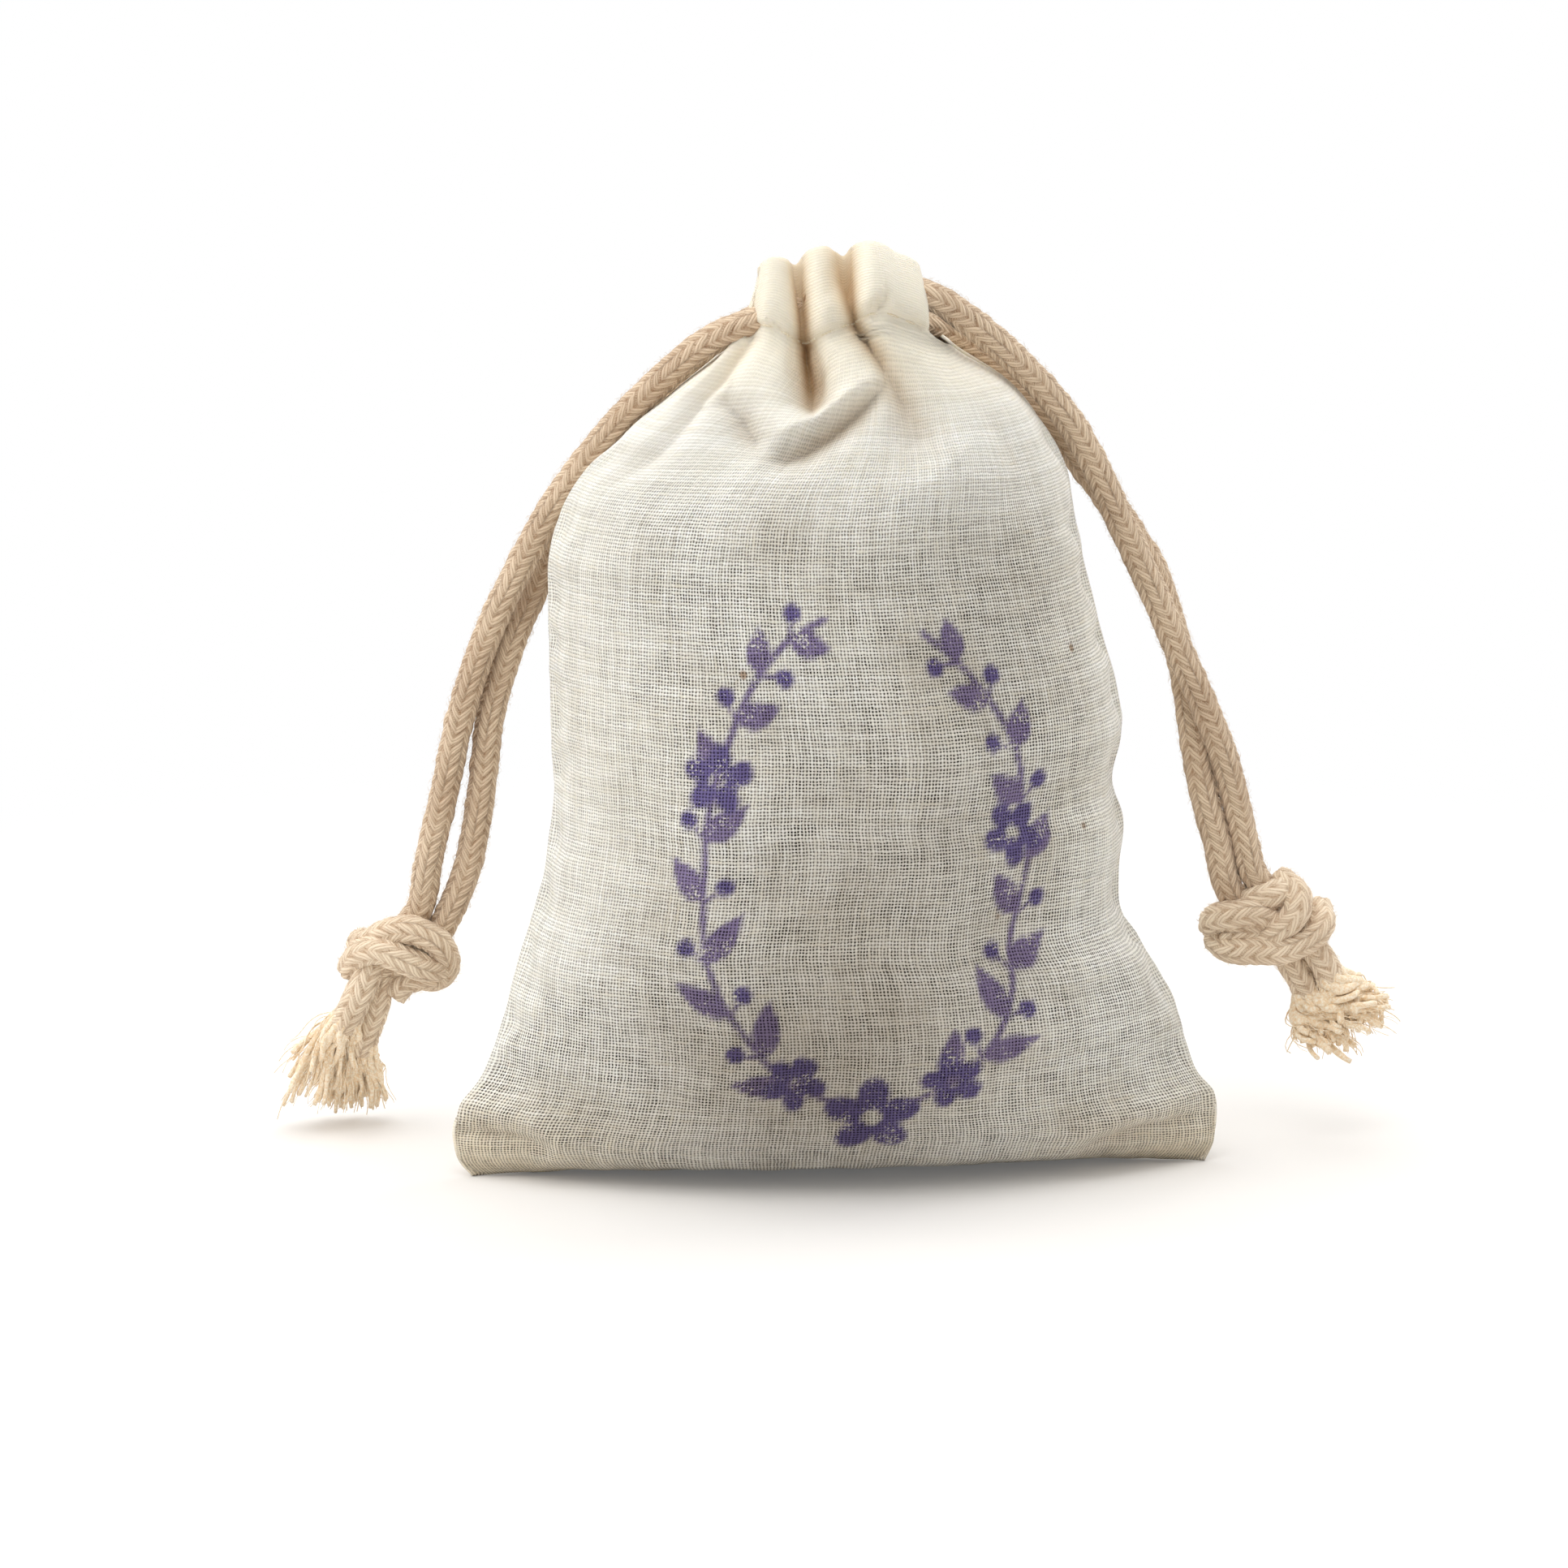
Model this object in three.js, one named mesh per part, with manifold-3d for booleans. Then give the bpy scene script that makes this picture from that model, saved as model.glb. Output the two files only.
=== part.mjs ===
// A lavender sachet: a filled cotton bag whose mouth is gathered by two drawcords, each knotted at one side.
// Millimetres, +Z up, +X to the right and -Y to the front. The origin is the middle of the bag's base.
import * as THREE from "three";
import { LoftGeometry } from "three/addons/geometries/LoftGeometry.js";
import { mergeVertices } from "three/addons/utils/BufferGeometryUtils.js";
import Module from "manifold-3d";

const wasm = await Module();
wasm.setup();

// Cloth and seams
const clothThickness = 0.6;
const seamGap = 0.3; // between the two panels along their seams
const seamAllowance = 1.2; // how far the joined side edges reach into the bag
const threadDiameter = 0.4;
const clearance = 0.3; // between pieces that rest on each other

// The bag's outline, from its base to the top edge of its panels
const earReach = 38; // from the middle to the tip of a lower corner
const earHeight = 2.5;
const footHalfDepth = 8; // half of the strip that stands on the table
const bellyHalfDepth = 18.6;
const flankHeight = 26; // below it the sides draw in from the ears
const shoulderHeight = 64; // above it the gathers begin
const panelTop = 82;
const neckReach = 9.4;
const earSharpness = 1.9; // the section's exponent: 2 meets the seam in an edge, 1 is an ellipse
const bellySharpness = 1;
const neckSharpness = 0.85;

// Cords
const cordDiameter = 3;
const cordSides = 8;
const runGap = 0.2; // between the two cords inside one casing
const runSpacing = cordDiameter + runGap;
const runMiddle = 4; // from the middle plane to the middle of the two runs
const twistReach = 4.5; // the cords change places between minus and plus this
const turnStart = 5; // where a cord begins its turn at the far end of the mouth
const strandSteps = 14;
const loopSteps = 46;

// Gathers and casing
const pleatDepth = 0.8;
const pleatHalfWidth = 1.2;
const tunnelHeadroom = 0.4; // above and below the cords
const tunnelHeight = runSpacing + cordDiameter + 2 * tunnelHeadroom;
const tunnelHalfDepth = (runSpacing + cordDiameter) / 2 + clearance;
const casingWall = 1; // cloth in front of the tunnel, at the bottom of a pleat
const casingFoot = 0.8; // cloth under the tunnel
const casingRoof = 2.8; // cloth over the tunnel
const casingHeight = casingFoot + tunnelHeight + casingRoof;
const casingCrown = 1.8; // how far the casing's ends lie below its middle
const casingReach = 9;
const casingTaper = 1; // how much nearer the ends come at the top
const casingSquareness = 0.3;
const stitchRise = 0.8; // the stitch line above the casing's lower edge
const neckHalfDepth = runMiddle + tunnelHalfDepth + casingWall + pleatDepth;

// Knots and frayed ends
const strandGap = 0.5; // between two strands where they enter a knot
const strandSpread = (cordDiameter + strandGap) / 2; // from a knot's axis to each strand
const wrapWidth = 3.2; // one turn of cord round the strands
const wrapHeight = 1.5; // how far it stands out
const knotFaceRim = 0.35; // the knot's flat face past the strands
const knotFaceRadius = strandSpread + cordDiameter / 2 + knotFaceRim;
const stubLength = 4.5; // braided cord below a knot
const tuftRadius = 2.5;
const tuftRounding = 0.6; // at the tuft's tip

// Filling
const fillingRise = 10; // from the shoulder up to the top of the filling
const fillingTop = shoulderHeight + fillingRise;
const fillingSideRoom = 1.3; // leaves room for the seam threads
const fillingRoom = 0.4;
const fillingFloorRoom = 1;

const columns = 36; // across one panel

const colours = {
  muslin: new THREE.MeshStandardMaterial({ color: 0xd9d2bf, roughness: 0.95, metalness: 0 }),
  casing: new THREE.MeshStandardMaterial({ color: 0xe9dfc6, roughness: 0.95, metalness: 0 }),
  thread: new THREE.MeshStandardMaterial({ color: 0xece4d0, roughness: 0.8, metalness: 0 }),
  cord: new THREE.MeshStandardMaterial({ color: 0xcdb08d, roughness: 0.95, metalness: 0 }),
  tuft: new THREE.MeshStandardMaterial({ color: 0xe6d3b4, roughness: 0.95, metalness: 0 }),
  buds: new THREE.MeshStandardMaterial({ color: 0x7b7690, roughness: 0.9, metalness: 0 }),
};

const sachet = new THREE.Group();

function add(name, geometry, material) {
  const mesh = new THREE.Mesh(geometry, material);
  mesh.name = name;
  sachet.add(mesh);
}

// The bag's half sizes at rising heights: height, reach to the left, reach to the right, half depth.
const stations = [
  [0, earReach - 1.4, earReach - 1, footHalfDepth],
  [earHeight, earReach, earReach, footHalfDepth + 2.5],
  [5, earReach, earReach, footHalfDepth + 4.2],
  [10, 34.8, 34.6, footHalfDepth + 6.6],
  [flankHeight - 4, 30.9, 30.2, bellyHalfDepth - 1],
  [36, 27.6, 27.2, bellyHalfDepth],
  [50, 27.8, 26.4, bellyHalfDepth - 0.2],
  [shoulderHeight, 26.9, 23.1, bellyHalfDepth - 1.7],
  [panelTop - 12, 23.7, 22, 15],
  [panelTop - 7, 18.2, 20.2, 12.8],
  [panelTop - 3, 13.6, 16, 10.8],
  [panelTop, neckReach, neckReach + 1, neckHalfDepth],
];
const heights = stations.map((station) => station[0]);
const halfSizes = new THREE.CubicInterpolant(
  heights,
  stations.flatMap((station) => station.slice(1)),
  3,
);

// Each station's height and even steps to the next, closer in the gathers.
const rowHeights = heights.flatMap((height, i) => {
  if (i + 1 === heights.length) {
    return [height];
  }
  const steps = height < shoulderHeight ? 2 : 3;
  return Array.from({ length: steps }, (_, k) => height + (k * (heights[i + 1] - height)) / steps);
});

const front = -1;
const back = 1;

// Folds that run down from the gathers and in from the ears. Each point of a fold: x, height, depth of the
// fold and its half width.
const folds = {
  [front]: [
    [[-3.9, panelTop + 1, 3.4, 2], [-3.8, panelTop - 2, 3.6, 2.2], [-3.4, panelTop - 6, 0, 2.2]],
    [
      [3, panelTop + 1, 2.4, 2], [5.4, panelTop - 1.5, 2.6, 2.2], [7.6, panelTop - 6, 1.8, 2.8],
      [9.6, panelTop - 9, 0, 3],
    ],
    [
      [-8.6, panelTop - 8, 0, 2], [-3.8, panelTop - 5.4, 2, 2.2], [0.1, panelTop - 2.8, 1.8, 2.2],
      [4.6, panelTop - 0.8, 0, 2],
    ],
    [[-12, panelTop - 3, 0, 2], [-10.3, panelTop - 5, 1.8, 2.2], [-8.6, panelTop - 9, 0, 2]],
    [[-earReach, 5, 0.6, 2], [-earReach + 6, 4.4, 1.2, 2], [-earReach + 10, 2.6, 0, 2]],
    [[earReach, 5, 0.6, 2], [earReach - 8, 4.3, 1.2, 2], [earReach - 15, 2.4, 0, 2]],
  ],
  [back]: [-5.4, -1.8, 1.9, 5.4].map((x) => [
    [x, panelTop + 1, 2.6, 1.6],
    [1.3 * x + 0.4, panelTop - 2, 2.2, 1.8],
    [1.9 * x + 1, panelTop - 10, 0, 2.4],
  ]),
};

// Swells and hollows of the filled cloth: x, height, how far it stands out, and its reach across and up.
const swells = {
  [front]: [
    [-6, panelTop - 13, 1.2, 9, 4],
    [9.5, panelTop - 11, 1, 5, 4],
    [-13.5, 36, 1, 5, 14],
    [-1, 30, -0.8, 7, 10],
    [9, 43, 0.8, 7, 7],
    [15, 30, -0.6, 5, 8],
    [19, 54, 0.7, 5, 9],
    [-17, 57, -0.6, 5, 6],
  ],
  [back]: [
    [0, panelTop - 13, 1, 12, 4],
    [-11, 40, 1, 6, 12],
    [4, 32, -0.8, 7, 10],
    [13, 46, 0.9, 6, 10],
    [-2, 56, -0.6, 7, 6],
  ],
};

// How far the cloth stands in from the smooth bag at a place.
function relief(facing, x, z) {
  const here = new THREE.Vector3(x, 0, z);
  const onLine = new THREE.Vector3();
  let total = 0;
  for (const fold of folds[facing]) {
    let nearest = Infinity;
    let depth = 0;
    for (let i = 0; i + 1 < fold.length; i++) {
      const [x0, z0, depth0, width0] = fold[i];
      const [x1, z1, depth1, width1] = fold[i + 1];
      const line = new THREE.Line3(new THREE.Vector3(x0, 0, z0), new THREE.Vector3(x1, 0, z1));
      const t = line.closestPointToPointParameter(here, true);
      const away = line.at(t, onLine).distanceTo(here) / THREE.MathUtils.lerp(width0, width1, t);
      if (away < nearest) {
        nearest = away;
        depth = THREE.MathUtils.lerp(depth0, depth1, t) * Math.exp(-away * away);
      }
    }
    total += depth;
  }
  for (const [x0, z0, height, across, up] of swells[facing]) {
    total -= height * Math.exp(-(((x - x0) / across) ** 2) - ((z - z0) / up) ** 2);
  }
  return total;
}

const shares = Array.from({ length: columns + 1 }, (_, i) => i / columns);

// A point of the bag's section at a height. Share runs along one panel from seam to seam, from the left on
// the front and from the right on the back. Side and depth say how far the section is drawn in.
function bagPoint(facing, share, height, side, depth, z = height) {
  const [left, right, halfDepth] = halfSizes.evaluate(height);
  const along = facing * Math.cos(Math.PI * share);
  const reach = (along < 0 ? left : right) - side;
  const rounding = THREE.MathUtils.smoothstep(height, 0, flankHeight);
  const gather = THREE.MathUtils.smoothstep(height, shoulderHeight, panelTop);
  const upper = THREE.MathUtils.lerp(bellySharpness, neckSharpness, gather);
  const sharpness = THREE.MathUtils.lerp(earSharpness, upper, rounding);
  const across = Math.abs(Math.sin(Math.PI * share));
  const bulge = (halfDepth - depth - seamGap / 2) * Math.pow(across, sharpness);
  const inwards = Math.min(relief(facing, reach * along, height) * across, bulge / 2);
  return new THREE.Vector3(reach * along, facing * (seamGap / 2 + bulge - inwards), z);
}

function geometryOf(positions, indices) {
  const geometry = new THREE.BufferGeometry();
  geometry.setAttribute("position", new THREE.Float32BufferAttribute(positions, 3));
  geometry.setIndex(indices);
  return geometry;
}

// A closed sheet from a grid of outer points and a matching grid of inner points, joined along its edges.
function sheetGeometry(outer, inner) {
  const rows = outer.length;
  const across = outer[0].length;
  const points = [...outer.flat(), ...inner.flat()];
  const out = (r, c) => r * across + c;
  const into = (r, c) => (rows + r) * across + c;
  const indices = [];
  const quad = (a, b, c, d) => indices.push(a, b, c, a, c, d);
  const top = rows - 1;
  const last = across - 1;
  for (let r = 0; r < top; r++) {
    for (let c = 0; c < last; c++) {
      quad(out(r, c), out(r, c + 1), out(r + 1, c + 1), out(r + 1, c));
      quad(into(r, c), into(r + 1, c), into(r + 1, c + 1), into(r, c + 1));
    }
    quad(out(r, 0), out(r + 1, 0), into(r + 1, 0), into(r, 0));
    quad(out(r, last), into(r, last), into(r + 1, last), out(r + 1, last));
  }
  for (let c = 0; c < last; c++) {
    quad(out(0, c), into(0, c), into(0, c + 1), out(0, c + 1));
    quad(out(top, c), out(top, c + 1), into(top, c + 1), into(top, c));
  }
  return geometryOf(
    points.flatMap((p) => p.toArray()),
    indices,
  );
}

// One cloth panel: a floor strip along the bottom seam, then the wall up to the casing.
function panelGeometry(facing) {
  const outer = [];
  const inner = [];
  const seamLine = (z) =>
    shares.map((share) => {
      const p = bagPoint(facing, share, 0, seamAllowance, 0, z);
      p.y = (facing * seamGap) / 2;
      return p;
    });
  const outerRow = (height) => shares.map((share) => bagPoint(facing, share, height, 0, 0));
  const innerRow = (height) =>
    shares.map((share) => bagPoint(facing, share, height, seamAllowance, clothThickness));
  outer.push(outerRow(0));
  inner.push(seamLine(0));
  outer.push(outerRow(clothThickness / 2));
  inner.push(seamLine(clothThickness));
  outer.push(outerRow(clothThickness));
  inner.push(innerRow(clothThickness));
  rowHeights.slice(1).forEach((height) => {
    outer.push(outerRow(height));
    inner.push(innerRow(height));
  });
  return sheetGeometry(outer, inner);
}

add("front_panel", panelGeometry(front), colours.muslin);
add("back_panel", panelGeometry(back), colours.muslin);

// The filling keeps inside the panels and under the gathers.
const fillingFloor = clothThickness + fillingFloorRoom;
const fillingHeights = [
  fillingFloor,
  ...rowHeights.filter((height) => height > fillingFloor + 1 && height < fillingTop - 1),
  fillingTop,
];
const fillingShares = shares.filter((_, i) => i % 2 === 0 && i < columns);
const fillingSide = seamAllowance + fillingSideRoom;
const fillingDepth = clothThickness + fillingRoom;
const fillingSections = fillingHeights.map((height) =>
  [back, front].flatMap((facing) =>
    fillingShares.map((share) => bagPoint(facing, share, height, fillingSide, fillingDepth)),
  ),
);
add(
  "lavender_filling",
  new LoftGeometry(fillingSections, { capStart: true, capEnd: true }),
  colours.buds,
);

function roundSection(diameter, sides) {
  const corners = Array.from({ length: sides }, (_, i) => {
    const angle = (2 * Math.PI * i) / sides;
    return new THREE.Vector2(Math.cos(angle), Math.sin(angle)).multiplyScalar(diameter / 2);
  });
  return new THREE.Shape(corners);
}

function tubeGeometry(points, diameter, sides, steps) {
  return new THREE.ExtrudeGeometry(roundSection(diameter, sides), {
    steps,
    extrudePath: new THREE.CatmullRomCurve3(points, false, "centripetal"),
  });
}

// Stitching inside the side seams and the bottom seam.
const threadInset = seamAllowance + clearance + threadDiameter / 2;
const threadSides = 6;
const sideThreadHeights = rowHeights.filter((height) => height > earHeight / 2 && height < panelTop);

function sideThread(name, share) {
  const points = sideThreadHeights.map((height) => {
    const p = bagPoint(front, share, height, threadInset, 0);
    p.y = 0;
    return p;
  });
  add(name, tubeGeometry(points, threadDiameter, threadSides, 2 * points.length), colours.thread);
}

sideThread("left_seam_thread", 0);
sideThread("right_seam_thread", 1);

const bottomThreadHeight = clothThickness + clearance + threadDiameter / 2;
const bottomThreadReach = earReach - 5;
const bottomThread = [-1, -0.5, 0, 0.5, 1].map(
  (share) => new THREE.Vector3(share * bottomThreadReach, 0, bottomThreadHeight),
);
add(
  "bottom_seam_thread",
  tubeGeometry(bottomThread, threadDiameter, threadSides, 12),
  colours.thread,
);

// The casing at the top of each panel: a gathered block of folded cloth with a tunnel for the cords.
// Each of its pleats: x at the casing's lower edge and at its top.
const pleats = {
  [front]: [[-3.9, -4.7], [3, -0.5]],
  [back]: [[-5.4, -5.2], [-1.8, -1.8], [1.9, 1.8], [5.4, 5.2]],
};

function pleat(facing, x, rise) {
  const depths = pleats[facing].map(([low, high]) => {
    const away = (x - THREE.MathUtils.lerp(low, high, rise)) / pleatHalfWidth;
    return pleatDepth * Math.exp(-away * away);
  });
  return Math.max(...depths);
}

const casingBottom = panelTop + clearance;
const tunnelBottom = casingBottom + casingFoot;
const cordLevel = tunnelBottom + tunnelHeight / 2;
const outerRun = runMiddle + runSpacing / 2;
const innerRun = runMiddle - runSpacing / 2;

// A point of the casing's outer face, at a share of its width and a share of its height. Proud is how far
// it stands off that face.
function casingPoint(facing, share, rise, proud) {
  const along = facing * Math.cos(Math.PI * share);
  const across = Math.abs(Math.sin(Math.PI * share));
  const swell = Math.pow(across, casingSquareness);
  const ends = seamGap / 2 + clothThickness;
  const x = (casingReach - rise * casingTaper) * along;
  const y = ends + (neckHalfDepth - ends - pleat(facing, x, rise)) * swell;
  const z = casingBottom + rise * (casingHeight - casingCrown * along * along);
  const out = new THREE.Vector2(along, across).normalize().multiplyScalar(proud);
  return new THREE.Vector3(x + out.x, facing * (y + out.y), z);
}

function solidOf(geometry) {
  geometry.deleteAttribute("normal");
  geometry.deleteAttribute("uv");
  const merged = mergeVertices(geometry, 1e-4);
  return new wasm.Manifold(
    new wasm.Mesh({
      numProp: 3,
      vertProperties: merged.attributes.position.array,
      triVerts: new Uint32Array(merged.index.array),
    }),
  );
}

function geometryOfSolid(solid) {
  const mesh = solid.getMesh();
  return geometryOf(mesh.vertProperties, new THREE.BufferAttribute(mesh.triVerts, 1));
}

function boxBetween(low, high) {
  const size = high.clone().sub(low);
  const middle = high.clone().add(low).multiplyScalar(0.5);
  const box = new THREE.BoxGeometry(size.x, size.y, size.z);
  return solidOf(box.translate(middle.x, middle.y, middle.z));
}

// The tunnel runs from end to end. At each end a notch lets the other cord turn from casing to casing.
function casingGeometry(facing) {
  const rises = [0, 0.33, 0.67, 1];
  const outer = rises.map((rise) => shares.map((share) => casingPoint(facing, share, rise, 0)));
  const inner = outer.map((row) =>
    row.map((p) => new THREE.Vector3(p.x, (facing * seamGap) / 2, p.z)),
  );
  const past = casingReach + 2;
  const span = (from, to) => [facing * from, facing * to].sort((a, b) => a - b);
  const [tunnelLow, tunnelHigh] = span(runMiddle - tunnelHalfDepth, runMiddle + tunnelHalfDepth);
  const [notchLow, notchHigh] = span(-1, innerRun + cordDiameter / 2 + clearance);
  const tunnel = boxBetween(
    new THREE.Vector3(-past, tunnelLow, tunnelBottom),
    new THREE.Vector3(past, tunnelHigh, tunnelBottom + tunnelHeight),
  );
  const notchHalf = cordDiameter / 2 + clearance;
  const notches = [
    [-past, -turnStart + clearance],
    [turnStart - clearance, past],
  ].map(([from, to]) =>
    boxBetween(
      new THREE.Vector3(from, notchLow, cordLevel - notchHalf),
      new THREE.Vector3(to, notchHigh, cordLevel + notchHalf),
    ),
  );
  const block = solidOf(sheetGeometry(outer, inner));
  return geometryOfSolid(
    notches.reduce((solid, notch) => solid.subtract(notch), block.subtract(tunnel)),
  );
}

function casingThread(facing) {
  const proud = clearance + threadDiameter / 2;
  const rise = stitchRise / casingHeight;
  const points = shares.slice(4, -4).map((share) => casingPoint(facing, share, rise, proud));
  return tubeGeometry(points, threadDiameter, threadSides, 2 * points.length);
}

add("front_casing", casingGeometry(front), colours.casing);
add("back_casing", casingGeometry(back), colours.casing);
add("front_casing_thread", casingThread(front), colours.thread);
add("back_casing_thread", casingThread(back), colours.thread);

// Cord routes. Each free strand is a list of points from the side of the mouth down to its knot.
const routes = {
  left: {
    towards: -1,
    over: 1,
    front: [
      [-12.6, -4, 83.6], [-15, -3, 81.9], [-18.4, -1, 78.6], [-21.7, 1, 74.9], [-25.6, 3, 69.7],
      [-28.6, 5, 64.8], [-31.2, 6.5, 59.7], [-34.2, 8, 53], [-36.8, 9.5, 44.9], [-38.6, 11, 36.4],
      [-40.2, 12.1, 29.4],
    ],
    back: [
      [-12.6, 4.4, 81.9], [-15, 5.2, 79.6], [-18.3, 6.4, 75.9], [-21.9, 7.4, 71.6], [-25, 8.4, 67.1],
      [-27.3, 9, 62.5], [-29.5, 9.4, 57.2], [-31.6, 9.8, 52.3], [-33.8, 10.6, 44.7], [-34.9, 11.5, 36.2],
      [-36.3, 12.3, 28.6],
    ],
    knot: [-43, 14, 19.2],
    knotAxis: [-0.566, 0.153, -0.81],
    tips: {
      front: [-51.2, 21.4, 2.4],
      back: [-45, 25, 1.9],
    },
  },
  right: {
    towards: 1,
    over: -1,
    front: [
      [12.6, -3.4, 86], [16.1, -1.8, 83.5], [19.7, -0.2, 79.9], [22.7, 1.2, 75.7], [25.5, 2.4, 71.3],
      [28.8, 4, 64.6], [32, 5, 57.9], [35.3, 6, 50.3], [38.2, 6.5, 42.7], [40.9, 7, 34.3],
      [42.1, 7.3, 29.8],
    ],
    back: [
      [12.6, 4.6, 82.6], [14.6, 5.2, 81.1], [18, 6.2, 77.7], [21.6, 7, 72.9], [24.5, 7.4, 67.7],
      [27.3, 7.6, 62], [30.2, 7.6, 55.9], [33, 7.4, 49.3], [35.8, 7.3, 41], [37.9, 7.3, 34],
      [38.9, 7.4, 29.9],
    ],
    knot: [44.2, 8.5, 22.8],
    knotAxis: [0.53, 0.17, -0.83],
    tips: {
      front: [55, 8.4, 11.2],
      back: [49.8, 11.4, 8],
    },
  },
};

const vector = (p) => new THREE.Vector3(...p);

// The run of one cord inside the casings: in at the front, a half twist round the other cord, the turn at
// the far end, and back the same way behind.
function loopPoints(route) {
  const { towards, over } = route;
  const twist = (share, side) => {
    const angle = Math.PI * share;
    const x = towards * twistReach * Math.cos(angle);
    const y = side * (runMiddle + (runSpacing / 2) * Math.cos(angle));
    return new THREE.Vector3(x, y, cordLevel + (over * runSpacing * Math.sin(angle)) / 2);
  };
  const run = (side, strand) => {
    const [exit, next] = strand.map(vector);
    const inwards = exit.clone().sub(next).normalize();
    const end = exit.clone().addScaledVector(inwards, clearance);
    const bend = end.clone().addScaledVector(inwards, cordDiameter / 2);
    const mouth = new THREE.Vector3(towards * (casingReach - 2.2), side * outerRun, cordLevel);
    const twistShares = [0.12, 0.3, 0.5, 0.7, 0.88];
    return [end, bend, mouth, ...twistShares.map((share) => twist(share, side))];
  };
  const turn = [-90, -60, -30, 0, 30, 60, 90].map((degrees) => {
    const angle = THREE.MathUtils.degToRad(degrees);
    const x = -towards * (turnStart + innerRun * Math.cos(angle));
    return new THREE.Vector3(x, innerRun * Math.sin(angle), cordLevel);
  });
  return [...run(front, route.front), ...turn, ...run(back, route.back).reverse()];
}

// A knot: two wraps of cord side by side round the strands, turned about the axis of the tail.
function knotGeometry(centre, axis) {
  const half = wrapWidth / 2;
  const profile = [new THREE.Vector2(0, -wrapWidth), new THREE.Vector2(knotFaceRadius, -wrapWidth)];
  const arcSteps = 6;
  for (const middle of [-half, half]) {
    for (let i = 1; i < arcSteps; i++) {
      const angle = (Math.PI * i) / arcSteps;
      const r = knotFaceRadius + wrapHeight * Math.sin(angle);
      profile.push(new THREE.Vector2(r, middle - half * Math.cos(angle)));
    }
  }
  profile.push(new THREE.Vector2(knotFaceRadius, wrapWidth), new THREE.Vector2(0, wrapWidth));
  const geometry = new THREE.LatheGeometry(profile, 16);
  const turn = new THREE.Quaternion().setFromUnitVectors(new THREE.Vector3(0, 1, 0), axis);
  return geometry.applyQuaternion(turn).translate(centre.x, centre.y, centre.z);
}

// A frayed end: a short stub of cord that spreads into a tuft.
function frayedGeometry(start, axis, tip) {
  const bend = start.clone().addScaledVector(axis, stubLength);
  const curve = new THREE.QuadraticBezierCurve3(start, bend, tip);
  const sides = 10;
  const tuftStart = 0.3;
  const tuftEnd = 0.97;
  const sections = [0, 0.2, 0.4, 0.55, 0.7, 0.85, tuftEnd, 1].map((share) => {
    const along = curve.getTangent(share);
    const u = new THREE.Vector3(0, 1, 0).cross(along).normalize();
    const v = along.clone().cross(u);
    const spread = THREE.MathUtils.smoothstep(share, tuftStart, tuftEnd);
    const rounding = share > tuftEnd ? tuftRounding : 0;
    const r = THREE.MathUtils.lerp(cordDiameter / 2, tuftRadius, spread) - rounding;
    return Array.from({ length: sides }, (_, i) => {
      const angle = (2 * Math.PI * i) / sides;
      return curve
        .getPoint(share)
        .addScaledVector(u, r * Math.cos(angle))
        .addScaledVector(v, r * Math.sin(angle));
    });
  });
  return new LoftGeometry(sections, { capStart: true, capEnd: true });
}

for (const [side, route] of Object.entries(routes)) {
  const loop = tubeGeometry(loopPoints(route), cordDiameter, cordSides, loopSteps);
  add(`${side}_cord_loop`, loop, colours.cord);
  const axis = vector(route.knotAxis).normalize();
  const centre = vector(route.knot);
  // The two strands lie side by side in the plane of the front view, the front one outside.
  const outwards = new THREE.Vector3(0, 1, 0).cross(axis).normalize();
  outwards.multiplyScalar(Math.sign(outwards.x) * route.towards);
  const face = wrapWidth + clearance;
  for (const [place, sign] of [["front", 1], ["back", -1]]) {
    const beside = outwards.clone().multiplyScalar(sign * strandSpread);
    const above = centre.clone().addScaledVector(axis, -face).add(beside);
    const approach = above.clone().addScaledVector(axis, -cordDiameter);
    const below = centre.clone().addScaledVector(axis, face).add(beside);
    const strand = [...route[place].map(vector), approach, above];
    add(`${side}_${place}_strand`, tubeGeometry(strand, cordDiameter, cordSides, strandSteps), colours.cord);
    const tip = vector(route.tips[place]);
    add(`${side}_${place}_frayed_end`, frayedGeometry(below, axis, tip), colours.tuft);
  }
  add(`${side}_knot`, knotGeometry(centre, axis), colours.cord);
}

export default sachet;
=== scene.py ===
"""The lavender sachet as it looks: gathered muslin, braided cords, knots and frayed ends round the frame."""
import math
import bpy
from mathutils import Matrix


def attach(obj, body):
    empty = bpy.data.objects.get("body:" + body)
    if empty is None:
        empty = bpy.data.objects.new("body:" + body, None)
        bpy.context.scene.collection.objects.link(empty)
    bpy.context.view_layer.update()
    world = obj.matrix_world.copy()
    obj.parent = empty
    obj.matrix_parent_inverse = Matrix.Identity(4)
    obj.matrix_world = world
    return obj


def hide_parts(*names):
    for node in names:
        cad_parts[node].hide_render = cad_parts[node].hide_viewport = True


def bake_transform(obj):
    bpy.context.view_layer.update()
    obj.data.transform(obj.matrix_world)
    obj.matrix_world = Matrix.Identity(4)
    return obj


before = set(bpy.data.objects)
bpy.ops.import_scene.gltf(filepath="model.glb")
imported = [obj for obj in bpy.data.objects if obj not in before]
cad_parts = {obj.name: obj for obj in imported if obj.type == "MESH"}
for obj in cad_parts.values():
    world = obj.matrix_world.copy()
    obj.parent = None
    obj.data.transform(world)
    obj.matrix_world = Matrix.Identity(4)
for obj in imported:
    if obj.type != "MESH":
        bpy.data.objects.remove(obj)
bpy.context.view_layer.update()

from types import SimpleNamespace

import bpy
import numpy as np
from mathutils import Vector

MM = 0.001
rng = np.random.default_rng(7)


def placed(name, data):
    """A new object in the scene."""
    thing = bpy.data.objects.new(name, data)
    bpy.context.collection.objects.link(thing)
    return thing


# Camera

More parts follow.
